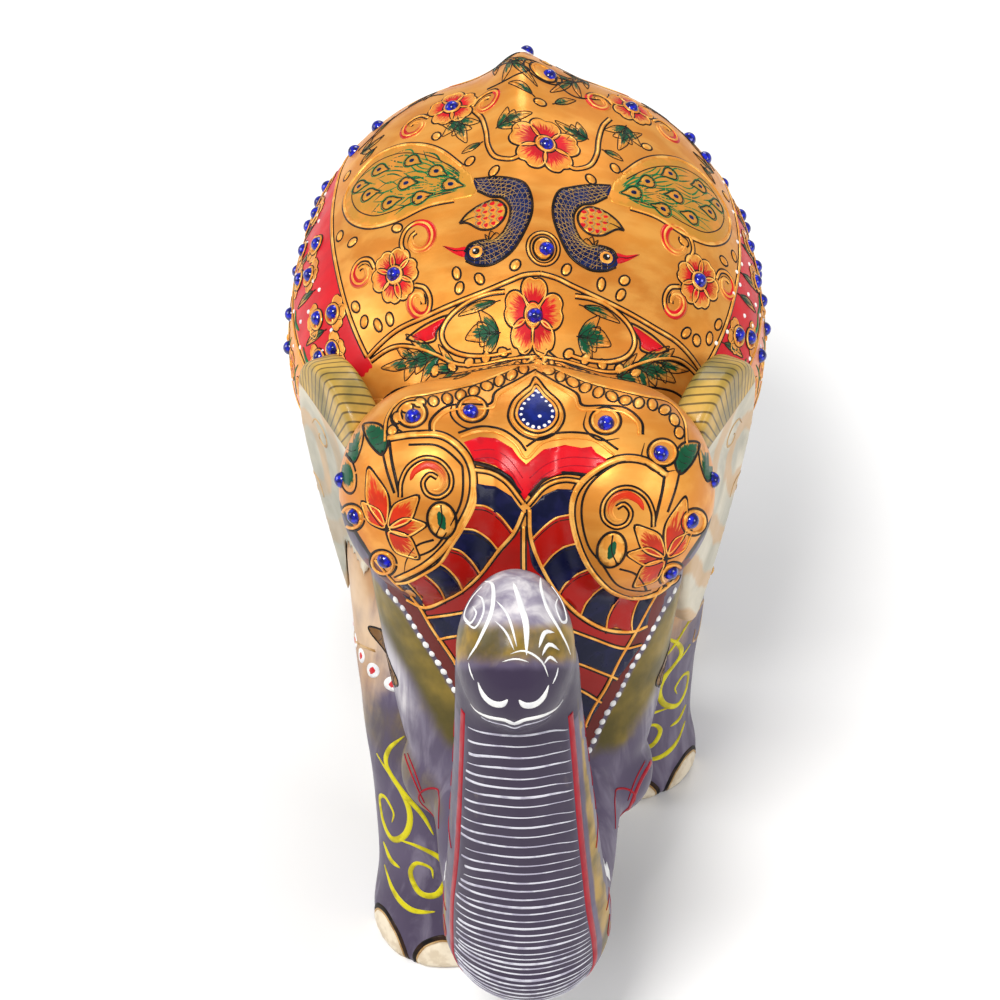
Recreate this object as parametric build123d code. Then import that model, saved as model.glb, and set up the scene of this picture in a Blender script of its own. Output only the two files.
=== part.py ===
"""Painted wooden elephant, striding, with its trunk raised.

The figure is a glued assembly of carved wooden blocks: a body with its four legs, a head, a trunk,
two ears and a tail, pegged together with plain round dowels. Small domed glass stones are glued on
the finished surface. The elephant faces -Y, its left side is +X, and it stands on z = 0.
Units are millimetres.
"""

from build123d import *
from math import cos, exp, pi, radians, sin
import os

# Driving dimensions
BODY_HALF_WIDTH = 65.0
BELLY_HEIGHT = 74.0
NECK_PLANE_Y = -10.0
SNOUT_PLANE_Y = -70.0
FOOT_RADIUS = 20.0
ANKLE_RADIUS = 17.0
FOOT_FLARE_HEIGHT = 14.0
THIGH_TOP = 142.0
THIGH_WIDEST = 104.0
EAR_THICKNESS = 9.0
EAR_FLARE_DEG = 28.0
EAR_ROUNDING = 2.0
STONE_DIAMETER = 4.0
STONE_HEIGHT = 1.7
STONE_GAP = 0.03
DOWEL_CLEARANCE = 0.05
DOWEL_END_ROOM = 0.5
SECTION_POINTS = 36
RIDGE_SPREAD = 9.0

# The barrel's sections along Y: y, half width, top, bottom, height of the widest line, spine ridge.
TORSO_STATIONS = [
    (NECK_PLANE_Y, 38.0, 163.0, 92.0, 128.0, 0.0),
    (0.0, 46.0, 168.5, 83.0, 128.0, 0.5),
    (12.0, 55.5, 174.5, 77.0, 127.0, 1.0),
    (28.0, 62.5, 180.5, BELLY_HEIGHT, 126.0, 1.5),
    (48.0, BODY_HALF_WIDTH, 185.0, BELLY_HEIGHT - 1.0, 126.0, 3.0),
    (68.0, 63.5, 185.5, BELLY_HEIGHT, 127.0, 5.5),
    (86.0, 58.5, 183.5, 78.0, 128.0, 7.5),
    (101.0, 48.5, 173.5, 87.0, 130.0, 7.5),
    (112.0, 35.0, 159.5, 99.0, 132.0, 5.0),
    (118.5, 21.0, 147.5, 114.0, 133.0, 1.5),
    (121.0, 8.0, 139.0, 126.0, 133.0, 0.0),
]

# Each leg: centre of the sole (x, y), centre of the thigh's top (x, y), and the thigh's radii there.
LEGS = {
    "front_right": ((-22.7, -53.5), (-29.0, 5.0), (20.5, 23.0)),
    "front_left": ((30.0, 5.5), (31.0, 14.0), (20.5, 23.0)),
    "rear_left": ((31.0, 58.0), (35.0, 79.0), (24.0, 26.0)),
    "rear_right": ((-29.0, 94.0), (-34.0, 78.0), (24.0, 26.0)),
}
LEG_LEVELS = (0.0, 3.0, 10.0, 20.0, 34.0, 50.0, 66.0, 82.0, 98.0, 112.0, 126.0, 136.0, THIGH_TOP)

# The face's level sections: z, half width, y of the front, y of the back.
FACE_SECTIONS = [
    (52.0, 15.0, -68.0, -44.0),
    (60.0, 25.0, -73.0, -36.0),
    (74.0, 31.5, -74.0, -24.0),
    (90.0, 35.5, -70.0, -12.0),
    (108.0, 38.5, -66.0, -2.0),
    (128.0, 40.5, -63.0, 2.0),
    (148.0, 41.5, -60.0, 2.0),
    (160.0, 38.0, -55.0, 0.0),
]
# Ellipsoids that fill out the skull: centre of the left one, and its radii.
DOMES = ((21.0, -36.0, 150.0), (25.0, 26.5, 28.0))
CHEEKS = ((21.5, -55.0, 66.5), (11.5, 14.0, 13.0))
CROWN = ((0.0, -30.0, 148.0), (36.0, 30.0, 28.0))

# The lower trunk's upright sections from the snout to the bend: y, centre z, half width, half height.
TRUNK_ROOT = [
    (-52.0, 80.0, 27.0, 27.0),
    (-66.0, 72.0, 25.0, 24.0),
    (-80.0, 61.0, 22.8, 21.5),
    (-89.0, 55.5, 20.8, 20.1),
]
TRUNK_BEND = ((0.0, -93.0, 54.0), (21.5, 23.2, 20.8))
# The raised trunk's level sections: z, centre x, centre y, half width, half depth.
TRUNK_COLUMN = [
    (50.0, 0.0, -93.2, 20.4, 22.0),
    (66.0, -0.2, -95.5, 20.8, 19.8),
    (80.0, -0.5, -97.5, 19.5, 17.0),
    (98.0, -0.9, -98.5, 18.0, 14.8),
    (120.0, -1.4, -98.5, 16.2, 13.8),
    (140.0, -1.9, -98.0, 14.8, 13.0),
    (158.0, -2.3, -98.0, 13.8, 12.5),
]
TRUNK_TIP = ((-2.6, -98.9, 161.3), (13.4, 18.6, 17.8))

# The left ear's outline on its side face: distance behind its front edge, height.
EAR_OUTLINE = [
    (2.0, 156.0),
    (12.0, 162.5),
    (26.0, 161.5),
    (36.5, 152.0),
    (38.5, 137.0),
    (33.0, 120.0),
    (24.0, 104.0),
    (14.0, 90.0),
    (7.0, 85.0),
    (2.0, 92.0),
    (0.0, 112.0),
    (-1.0, 138.0),
]
EAR_FRONT = (41.5, -27.0)

# The tail from root to tip: y, z, radius.
TAIL = [
    (108.0, 147.0, 4.6),
    (119.0, 141.0, 4.4),
    (124.0, 122.0, 3.8),
    (122.5, 98.0, 3.4),
    (119.0, 80.0, 4.6),
    (117.0, 66.0, 4.4),
    (115.5, 57.0, 1.5),
]

# Dowels: radius, start and end of each.
DOWELS = {
    "neck_dowel_left": (5.0, (18.0, -34.0, 130.0), (18.0, 8.0, 130.0)),
    "neck_dowel_right": (5.0, (-18.0, -34.0, 130.0), (-18.0, 8.0, 130.0)),
    "trunk_dowel": (4.0, (0.0, -86.0, 64.0), (0.0, -52.0, 64.0)),
    "ear_dowel_left": (2.5, (28.0, -20.0, 142.0), (41.0, -20.0, 142.0)),
    "ear_dowel_right": (2.5, (-28.0, -20.0, 142.0), (-41.0, -20.0, 142.0)),
    "tail_peg": (1.8, (0.0, 108.0, 147.0), (0.0, 121.0, 134.5)),
}

# Stones on the back, straight above each x, y.
SADDLE_STONES = [(5.0, 53.0), (5.0, 21.0), (2.0, 4.0), (6.0, 82.0), (0.0, 96.0)]
FLOWER_STONES = [(-20.0, 75.5), (28.0, 80.5), (-34.0, 22.0), (44.5, 26.5)]
# Stones on the flanks: y, and the angle down from the spine about the barrel's axis.
BAND_STONES_RIGHT = [
    (15.0, 66.0),
    (17.0, 72.0),
    (23.0, 61.0),
    (26.0, 67.0),
    (42.0, 67.0),
    (47.0, 73.0),
    (50.0, 63.0),
    (58.0, 72.0),
    (68.0, 67.0),
    (70.0, 73.0),
    (78.0, 65.0),
    (80.0, 72.0),
]
BAND_STONES_LEFT = [
    (9.5, 70.0),
    (11.5, 76.0),
    (22.8, 69.8),
    (26.9, 75.0),
    (48.0, 74.5),
    (47.0, 80.0),
    (59.0, 71.5),
    (57.5, 77.0),
    (73.0, 71.5),
    (74.5, 77.0),
    (86.0, 69.5),
    (87.5, 76.0),
]
BORDER_STONES_RIGHT = [(38.0, 88.0), (44.0, 82.0), (66.0, 85.0), (86.0, 82.0), (81.0, 53.0), (87.0, 46.0)]
BORDER_STONES_LEFT = [(30.0, 84.0), (43.0, 86.0), (66.0, 86.0), (88.0, 84.0), (80.0, 55.0), (86.0, 51.0)]
BARREL_AXIS_Z = 128.0
# Stones on the head: points close to their seats, on lines that fan out from the skull's middle.
SKULL_MIDDLE = (0.0, -32.0, 140.0)
FOREHEAD_STONES = [(-27.0, -39.0, 177.0), (-13.5, -37.0, 177.0), (18.5, -41.5, 177.0), (31.5, -47.0, 172.5)]
DOME_STONES = [
    (-41.0, -50.5, 155.0),
    (-34.0, -58.5, 148.0),
    (39.0, -53.0, 156.0),
    (34.5, -57.0, 142.5),
    (-45.5, -40.0, 157.0),
    (45.5, -40.0, 157.0),
]
# Stones on the shoulders' outer sides: x of the leg's middle, y, z.
SHOULDER_STONES_BLUE = [(-28.0, 0.0, 105.0), (31.0, 4.0, 105.0)]
SHOULDER_STONES_RED = [(-28.0, -6.0, 90.0), (31.0, 6.0, 90.0)]
SHOULDER_STONES_YELLOW = [(-27.0, -13.0, 76.0), (31.0, 7.0, 76.0)]


def smooth_step(t):
    """0 below 0, 1 above 1, and an even S between them."""
    t = min(max(t, 0.0), 1.0)
    return t * t * (3 - 2 * t)


def smooth_wire(points):
    """A closed smooth outline through points."""
    return Wire([Edge.make_spline([Vector(*p) for p in points], periodic=True)])


def torso_section(y, half_width, top, bottom, middle, ridge):
    """One upright section of the barrel: two half ellipses with a soft ridge along the spine."""
    points = []
    for i in range(SECTION_POINTS):
        a = 2 * pi * i / SECTION_POINTS
        x = half_width * sin(a)
        rise = top - middle if cos(a) > 0 else middle - bottom
        z = middle + rise * cos(a)
        if cos(a) > 0:
            z += ridge * exp(-((x / RIDGE_SPREAD) ** 2))
        points.append((x, y, z))
    return smooth_wire(points)


def level_ellipse(cx, cy, z, rx, ry):
    """A level elliptical outline."""
    return Wire([Edge.make_ellipse(rx, ry, Plane(origin=(cx, cy, z)))])


def upright_ellipse(cy, cz, rx, rz):
    """An elliptical outline in a plane across the elephant's length."""
    return Wire([Edge.make_ellipse(rx, rz, Plane(origin=(0, cy, cz), x_dir=(1, 0, 0), z_dir=(0, -1, 0)))])


def ellipsoid(centre, radii):
    """A solid ellipsoid with its axes along X, Y and Z."""
    return Pos(*centre) * scale(Sphere(1.0), by=radii)


def both_sides(centre, radii):
    """An ellipsoid on the left and its twin on the right."""
    x, y, z = centre
    return ellipsoid((x, y, z), radii) + ellipsoid((-x, y, z), radii)


def leg(foot, hip, hip_radii):
    """One leg: a flared foot, a slim shin and a thigh that closes in again inside the barrel."""
    wires = []
    for z in LEG_LEVELS:
        lean = z / THIGH_TOP
        thigh = smooth_step((z - FOOT_FLARE_HEIGHT) / (THIGH_WIDEST - FOOT_FLARE_HEIGHT))
        shin = ANKLE_RADIUS + (FOOT_RADIUS - ANKLE_RADIUS) * exp(-((z / FOOT_FLARE_HEIGHT) ** 2))
        edge = 0.95 if z == 0 else 1.0
        if z > THIGH_WIDEST:
            edge = (1.02 - ((z - THIGH_WIDEST) / (THIGH_TOP - THIGH_WIDEST)) ** 2) ** 0.5
        rx = edge * (shin + (hip_radii[0] - shin) * thigh)
        ry = edge * (shin + (hip_radii[1] - shin) * thigh)
        cx = foot[0] + (hip[0] - foot[0]) * lean
        cy = foot[1] + (hip[1] - foot[1]) * lean
        wires.append(level_ellipse(cx, cy, z, rx, ry))
    return Solid.make_loft(wires)


def body_block():
    """The barrel with its four legs, flat at the neck."""
    block = Solid.make_loft([torso_section(*station) for station in TORSO_STATIONS])
    for foot, hip, hip_radii in LEGS.values():
        block = block + leg(foot, hip, hip_radii)
    return block


def head_block():
    """The skull with its twin forehead domes and cheeks, between the neck and snout planes."""
    wires = []
    for z, half_width, front, back in FACE_SECTIONS:
        wires.append(level_ellipse(0, (front + back) / 2, z, half_width, (back - front) / 2))
    skull = Solid.make_loft(wires) + both_sides(*DOMES) + both_sides(*CHEEKS) + ellipsoid(*CROWN)
    return skull - behind(NECK_PLANE_Y) - ahead_of(SNOUT_PLANE_Y)


def trunk_block():
    """The trunk: forward from the snout, round the bend, and straight up to its curled tip."""
    root = Solid.make_loft([upright_ellipse(*section) for section in TRUNK_ROOT])
    column = Solid.make_loft([level_ellipse(x, y, z, rx, ry) for z, x, y, rx, ry in TRUNK_COLUMN])
    trunk = root + column + ellipsoid(*TRUNK_BEND) + ellipsoid(*TRUNK_TIP)
    return trunk - behind(SNOUT_PLANE_Y)


def behind(y):
    """A block that fills everything behind an upright plane."""
    return Pos(0, y + 150, 100) * Box(300, 300, 300)


def ahead_of(y):
    """A block that fills everything in front of an upright plane."""
    return Pos(0, y - 150, 100) * Box(300, 300, 300)


def ear_slab(side):
    """One ear as a thick rounded flap that flares away from the head towards its rear edge."""
    outline = smooth_wire([(0, back, z) for back, z in EAR_OUTLINE])
    slab = Solid.extrude(Face(outline), Vector(EAR_THICKNESS, 0, 0))
    slab = slab.fillet(EAR_ROUNDING, slab.edges())
    slab = Rot(0, 0, -EAR_FLARE_DEG) * Pos(-EAR_THICKNESS, 0, 0) * slab
    slab = Pos(*EAR_FRONT, 0) * slab
    return slab if side > 0 else mirror(slab, about=Plane.YZ)


def tail_solid():
    """The tail, hanging down the rump to a tuft."""
    wires = []
    for i, (y, z, radius) in enumerate(TAIL):
        before = TAIL[max(i - 1, 0)]
        after = TAIL[min(i + 1, len(TAIL) - 1)]
        along = Vector(0, after[0] - before[0], after[1] - before[1])
        across = Plane(origin=(0, y, z), x_dir=(1, 0, 0), z_dir=along)
        wires.append(Wire([Edge.make_circle(radius, across)]))
    return Solid.make_loft(wires)


def round_bar(radius, start, end, extra=0.0):
    """A plain cylinder from start to end, made longer by extra at both ends."""
    start = Vector(*start)
    end = Vector(*end)
    along = (end - start).normalized()
    length = (end - start).length + 2 * extra
    return Solid.make_cylinder(radius, length, Plane(origin=start - along * extra, z_dir=along))


def dowel_holes():
    """Every dowel hole, a clearance wider and longer than its dowel."""
    bars = DOWELS.values()
    return [round_bar(radius + DOWEL_CLEARANCE, start, end, DOWEL_END_ROOM) for radius, start, end in bars]


def cabochon():
    """A domed stone with a flat back at z = 0."""
    radius = (STONE_DIAMETER**2 / 4 + STONE_HEIGHT**2) / (2 * STONE_HEIGHT)
    below = Pos(0, 0, -STONE_DIAMETER) * Box(4 * STONE_DIAMETER, 4 * STONE_DIAMETER, 2 * STONE_DIAMETER)
    return Pos(0, 0, STONE_HEIGHT - radius) * Sphere(radius) - below


def seated_stone(block, core, target):
    """A stone on the block's skin, where the line from core through target comes out."""
    line = Axis(core, Vector(*target) - Vector(*core))
    hits = block.find_intersection_points(line)
    seat, normal = max(hits, key=lambda hit: (hit[0] - Vector(*core)).dot(line.direction))
    if normal.dot(line.direction) < 0:
        normal = -normal
    return Plane(origin=seat + normal * STONE_GAP, z_dir=normal).location * cabochon()


def stones_on_back(block, spots):
    return [seated_stone(block, (x, y, BARREL_AXIS_Z), (x, y, BARREL_AXIS_Z + 50)) for x, y in spots]


def stones_on_flanks(block, right, left):
    """Stones on the right flank, on the side of negative x, and on the left one."""
    stones = []
    for side, spots in ((-1, right), (1, left)):
        for y, angle in spots:
            core = Vector(0, y, BARREL_AXIS_Z)
            outward = Vector(side * sin(radians(angle)), 0, cos(radians(angle)))
            stones.append(seated_stone(block, core, core + outward * 50))
    return stones


def stones_on_head(block, spots):
    return [seated_stone(block, SKULL_MIDDLE, spot) for spot in spots]


def stones_on_shoulders(block, spots):
    return [seated_stone(block, (x, y, z), (2 * x, y, z)) for x, y, z in spots]


def main():
    os.makedirs("parts", exist_ok=True)
    body = body_block()
    head = head_block() - body
    wood = {"body": body, "head": head, "trunk": trunk_block()}
    wood["ear_left"] = ear_slab(1) - head - body
    wood["ear_right"] = ear_slab(-1) - head - body
    wood["tail"] = tail_solid() - body
    pieces = {}
    for name, block in wood.items():
        for hole in dowel_holes():
            block = block - hole
        pieces[name] = block
    for name, (radius, start, end) in DOWELS.items():
        pieces[name] = round_bar(radius, start, end)
    pieces["saddle_stones"] = Compound(children=stones_on_back(body, SADDLE_STONES))
    pieces["flower_stones"] = Compound(children=stones_on_back(body, FLOWER_STONES))
    pieces["band_stones"] = Compound(children=stones_on_flanks(body, BAND_STONES_RIGHT, BAND_STONES_LEFT))
    border = stones_on_flanks(body, BORDER_STONES_RIGHT, BORDER_STONES_LEFT)
    pieces["border_stones"] = Compound(children=border)
    pieces["forehead_stones"] = Compound(children=stones_on_head(head, FOREHEAD_STONES))
    pieces["dome_stones"] = Compound(children=stones_on_head(head, DOME_STONES))
    pieces["shoulder_stones_blue"] = Compound(children=stones_on_shoulders(body, SHOULDER_STONES_BLUE))
    pieces["shoulder_stones_red"] = Compound(children=stones_on_shoulders(body, SHOULDER_STONES_RED))
    pieces["shoulder_stones_yellow"] = Compound(children=stones_on_shoulders(body, SHOULDER_STONES_YELLOW))
    front = min(piece.bounding_box().min.Y for piece in pieces.values())
    back = max(piece.bounding_box().max.Y for piece in pieces.values())
    for name, piece in pieces.items():
        export_step(Pos(0, -(front + back) / 2, 0) * piece, f"parts/{name}.step")


main()
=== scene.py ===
"""Painted and jewelled wooden elephant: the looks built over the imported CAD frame.

Lengths below are design millimetres, with the tip of the raised trunk at FRONT_OF_TRUNK in y.
"""
import math
import random

import bpy
import numpy as np
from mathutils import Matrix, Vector
from mathutils.bvhtree import BVHTree
from mathutils.geometry import delaunay_2d_cdt


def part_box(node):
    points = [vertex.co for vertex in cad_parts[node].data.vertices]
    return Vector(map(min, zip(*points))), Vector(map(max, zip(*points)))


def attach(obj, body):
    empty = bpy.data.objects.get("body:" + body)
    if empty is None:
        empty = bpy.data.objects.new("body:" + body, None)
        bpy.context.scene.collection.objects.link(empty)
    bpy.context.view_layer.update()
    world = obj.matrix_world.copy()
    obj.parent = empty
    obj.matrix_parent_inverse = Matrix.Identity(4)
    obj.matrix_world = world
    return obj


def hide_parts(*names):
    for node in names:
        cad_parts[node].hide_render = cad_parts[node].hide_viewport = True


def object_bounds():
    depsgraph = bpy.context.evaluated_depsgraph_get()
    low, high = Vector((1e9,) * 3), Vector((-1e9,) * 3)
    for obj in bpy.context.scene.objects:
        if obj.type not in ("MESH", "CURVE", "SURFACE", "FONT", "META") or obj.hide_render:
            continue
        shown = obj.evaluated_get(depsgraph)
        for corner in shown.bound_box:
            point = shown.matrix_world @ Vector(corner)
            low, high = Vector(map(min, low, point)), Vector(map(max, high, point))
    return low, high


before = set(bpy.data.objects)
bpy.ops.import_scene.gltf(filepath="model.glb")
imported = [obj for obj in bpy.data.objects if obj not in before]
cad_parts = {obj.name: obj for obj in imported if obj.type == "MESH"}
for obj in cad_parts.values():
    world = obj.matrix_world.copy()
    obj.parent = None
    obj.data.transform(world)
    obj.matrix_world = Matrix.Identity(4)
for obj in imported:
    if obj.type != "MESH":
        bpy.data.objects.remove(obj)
CAD_BOX = [list(corner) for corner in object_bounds()]

FRONT_OF_TRUNK = -117.5
BACK_AXIS_HEIGHT = 128.0
BACK_RADIUS = 62.0
BACK_LEAN = 4.5
RUMP_START = 80.0
RUMP_RADIUS = 55.0
TRUNK_BEND_HEIGHT = 54.0
TRUNK_BEND_RADIUS = 22.0
LEG_RADIUS = 19.0
LEG_REACH = 26.0
HIP_HEIGHT = 142.0
SLANT = 0.7071
FIFTH_OF_A_TURN = 1.2566
SKIN_VOXEL = 1.2
EAR_VOXEL = 0.9
TAIL_VOXEL = 0.8
OUT_OF_ZONE = -9.0
OFFSET = FRONT_OF_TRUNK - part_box("trunk")[0].y * 1000
DICE = random.Random(11)


# ---------------------------------------------------------------- frames and meshes

def to_row(points):
    out = np.array(points, float).reshape(-1, 3)
    out[:, 1] -= OFFSET
    return out * 0.001


def from_row(points):
    out = np.array(points, float).reshape(-1, 3) * 1000
    out[:, 1] += OFFSET
    return out


def new_object(name, points, faces, material, values=None):
    mesh = bpy.data.meshes.new(name)
    mesh.from_pydata(to_row(points).tolist(), [], [list(map(int, f)) for f in faces])
    mesh.polygons.foreach_set("use_smooth", np.ones(len(mesh.polygons), bool))
    for key, data in (values or {}).items():
        layer = mesh.attributes.new(key, "FLOAT", "POINT")
        layer.data.foreach_set("value", np.asarray(data, np.float32))
    mesh.materials.append(material)
    mesh.update()
    piece = bpy.data.objects.new(name, mesh)
    bpy.context.scene.collection.objects.link(piece)
    return piece


def cad_mesh(names):
    points, faces = [], []
    for name in names:
        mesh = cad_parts[name].data
        co = np.zeros(len(mesh.vertices) * 3, np.float32)
        mesh.vertices.foreach_get("co", co)
        start = sum(len(p) for p in points)
        points.append(from_row(co))
        faces += [[start + i for i in p.vertices] for p in mesh.polygons]
    return np.concatenate(points), faces


def islands(count, faces):
    """The label of the connected part that each vertex belongs to."""
    label = np.arange(count)
    while True:
        low = label[faces].min(1)
        merged = label.copy()
        for k in range(faces.shape[1]):
            np.minimum.at(merged, faces[:, k], low)
        merged = merged[merged]
        if (merged == label).all():
            return label
        label = merged


def stones_of(node):
    """The middle of each stone that a CAD node holds."""
    points, faces = cad_mesh([node])
    welded, index = np.unique(points.round(2), axis=0, return_inverse=True)
    label = islands(len(welded), index.reshape(-1)[np.array(faces)])
    return np.array([welded[label == k].mean(0) for k in np.unique(label)])


def remeshed(names, voxel):
    """One even quad skin over the named CAD nodes, inner walls and loose bubbles dropped."""
    points, faces = cad_mesh(names)
    rough = new_object("rough", points, faces, bpy.data.materials.new("rough"))
    modifier = rough.modifiers.new("voxel", "REMESH")
    modifier.mode = "VOXEL"
    modifier.voxel_size = voxel * 0.001
    fine = bpy.data.meshes.new_from_object(rough.evaluated_get(bpy.context.evaluated_depsgraph_get()))
    co = np.zeros(len(fine.vertices) * 3, np.float32)
    fine.vertices.foreach_get("co", co)
    quads = np.array([list(p.vertices) for p in fine.polygons if len(p.vertices) == 4])
    bpy.data.objects.remove(rough)
    bpy.data.meshes.remove(fine)
    label = islands(len(co) // 3, quads)
    main = np.bincount(label).argmax()
    keep = label == main
    quads = quads[keep[quads[:, 0]]]
    order = np.cumsum(keep) - 1
    return from_row(co)[keep], order[quads]


def edges_of(quads):
    pairs = np.concatenate([quads[:, [k, (k + 1) % 4]] for k in range(4)])
    return np.unique(np.sort(pairs, axis=1), axis=0)


def relax(points, edges, weight, rounds, push=0.5, pull=-0.52):
    """Evens out the surface where weight is above zero; with pull it keeps its volume."""
    a, b = edges.T
    n = len(points)
    count = np.bincount(edges.ravel(), minlength=n)[:, None]
    for _ in range(rounds):
        for factor in (push, pull):
            if factor:
                mean = [np.bincount(a, points[b, k], n) + np.bincount(b, points[a, k], n) for k in range(3)]
                points = points + factor * weight[:, None] * (np.stack(mean, 1) / count - points)
    return points


def smooth_step(low, high, x):
    t = np.clip((np.asarray(x, float) - low) / (high - low), 0, 1)
    return t * t * (3 - 2 * t)


def hump(x, centre, reach):
    """1 near the centre, falling smoothly to 0 at reach."""
    return 1 - smooth_step(0.3, 1.0, np.abs(np.asarray(x, float) - centre) / reach)


def line_distance(p, line):
    """Signed distance from 2-D points to an open polyline: positive on its left side."""
    line = np.array(line, float)
    best = np.full(len(p), 1e9)
    sign = np.ones(len(p))
    for (ax, ay), (bx, by) in zip(line[:-1], line[1:]):
        dx, dy = bx - ax, by - ay
        s = np.clip(((p[:, 0] - ax) * dx + (p[:, 1] - ay) * dy) / (dx * dx + dy * dy), 0, 1)
        ex, ey = p[:, 0] - ax - s * dx, p[:, 1] - ay - s * dy
        d = np.hypot(ex, ey)
        closer = d < best - 1e-9
        best = np.where(closer, d, best)
        sign = np.where(closer, np.sign(dx * ey - dy * ex), sign)
    return best * sign


# ---------------------------------------------------------------- materials

class Paint:
    """A small helper that wires one procedural material."""

    def __init__(self, name, rough=0.35, coat=0.35, metal=0.0, shine=0.3):
        self.material = bpy.data.materials.new(name)
        self.material.use_nodes = True
        self.tree = self.material.node_tree
        self.shader = self.tree.nodes["Principled BSDF"]
        self.shader.inputs["Roughness"].default_value = rough
        self.shader.inputs["Coat Weight"].default_value = coat
        self.shader.inputs["Coat Roughness"].default_value = 0.12
        self.shader.inputs["Metallic"].default_value = metal
        self.shader.inputs["Specular IOR Level"].default_value = shine
        self.where = self.node("ShaderNodeTexCoord").outputs["Object"]

    def node(self, kind, **options):
        made = self.tree.nodes.new(kind)
        for key, value in options.items():
            setattr(made, key, value)
        return made

    def feed(self, socket, value):
        if isinstance(value, bpy.types.NodeSocket):
            self.tree.links.new(value, socket)
        elif hasattr(value, "__len__") and len(value) == 3 and socket.type == "RGBA":
            socket.default_value = (*value, 1)
        else:
            socket.default_value = value

    def attr(self, name):
        return self.node("ShaderNodeAttribute", attribute_name=name).outputs["Fac"]

    def noise(self, scale, detail=3.0, stretch=None, distortion=0.0, at=None):
        place = at or self.where
        if stretch:
            mapping = self.node("ShaderNodeMapping")
            self.feed(mapping.inputs["Vector"], place)
            mapping.inputs["Scale"].default_value = stretch
            place = mapping.outputs["Vector"]
        made = self.node("ShaderNodeTexNoise")
        self.feed(made.inputs["Vector"], place)
        made.inputs["Scale"].default_value = scale
        made.inputs["Detail"].default_value = detail
        made.inputs["Distortion"].default_value = distortion
        return made.outputs["Fac"]

    def math(self, kind, a, b=0.0, c=0.0):
        made = self.node("ShaderNodeMath", operation=kind)
        for socket, value in zip(made.inputs, (a, b, c)):
            self.feed(socket, value)
        return made.outputs[0]

    def times(self, a, b):
        return self.math("MULTIPLY", a, b)

    def plus(self, a, b):
        return self.math("ADD", a, b)

    def swing(self, x, reach):
        """A noise value turned into a push to either side of nothing."""
        return self.times(self.math("SUBTRACT", x, 0.5), reach)

    def step(self, x, low, high, to_low=0.0, to_high=1.0):
        made = self.node("ShaderNodeMapRange", interpolation_type="SMOOTHSTEP")
        for key, value in zip(("Value", "From Min", "From Max", "To Min", "To Max"),
                              (x, low, high, to_low, to_high)):
            self.feed(made.inputs[key], value)
        return made.outputs["Result"]

    def mix(self, factor, a, b):
        made = self.node("ShaderNodeMix", data_type="RGBA")
        self.feed(made.inputs["Factor"], factor)
        self.feed(made.inputs[6], a)
        self.feed(made.inputs[7], b)
        return made.outputs[2]

    def vector(self, x, y=0.0, z=0.0):
        made = self.node("ShaderNodeCombineXYZ")
        for socket, value in zip(made.inputs, (x, y, z)):
            self.feed(socket, value)
        return made.outputs[0]

    def bump(self, height, strength, distance=0.0004):
        made = self.node("ShaderNodeBump")
        made.inputs["Strength"].default_value = strength
        made.inputs["Distance"].default_value = distance
        self.feed(made.inputs["Height"], height)
        self.feed(self.shader.inputs["Normal"], made.outputs["Normal"])

    def colour(self, value):
        self.feed(self.shader.inputs["Base Color"], value)

    def rough(self, value):
        self.feed(self.shader.inputs["Roughness"], value)

    def metal(self, value):
        self.feed(self.shader.inputs["Metallic"], value)


GOLD = (0.80, 0.315, 0.046)
GOLD_LIGHT = (0.95, 0.50, 0.115)
GOLD_DARK = (0.50, 0.145, 0.018)
SCARLET = (0.64, 0.005, 0.014)
CRIMSON = (0.36, 0.004, 0.016)
BRICK = (0.37, 0.006, 0.003)
MAROON = (0.13, 0.010, 0.006)
NAVY = (0.0035, 0.005, 0.028)
INK = (0.006, 0.004, 0.004)
GREEN = (0.003, 0.090, 0.036)
PLUM = (0.105, 0.082, 0.140)
PLUM_DARK = (0.042, 0.030, 0.060)
LILAC = (0.36, 0.325, 0.41)
OCHRE = (0.30, 0.20, 0.022)
OLIVE = (0.085, 0.064, 0.007)
TAN = (0.55, 0.36, 0.17)
CREAM = (0.80, 0.70, 0.54)
WHITE = (0.86, 0.86, 0.84)
YELLOW = (0.66, 0.58, 0.012)
PINK = (0.80, 0.30, 0.22)


def gold_colour(p):
    """Bronze-gold lacquer with brush drag and cloudy light and dark places."""
    cloud = p.step(p.noise(28, 4), 0.34, 0.68)
    drag = p.step(p.noise(55, 5, (0.5, 3.0, 3.0)), 0.40, 0.66)
    warm = p.mix(cloud, GOLD_DARK, GOLD)
    warm = p.mix(0.45, warm, GOLD)
    return p.mix(p.times(drag, 0.42), warm, GOLD_LIGHT)


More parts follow.
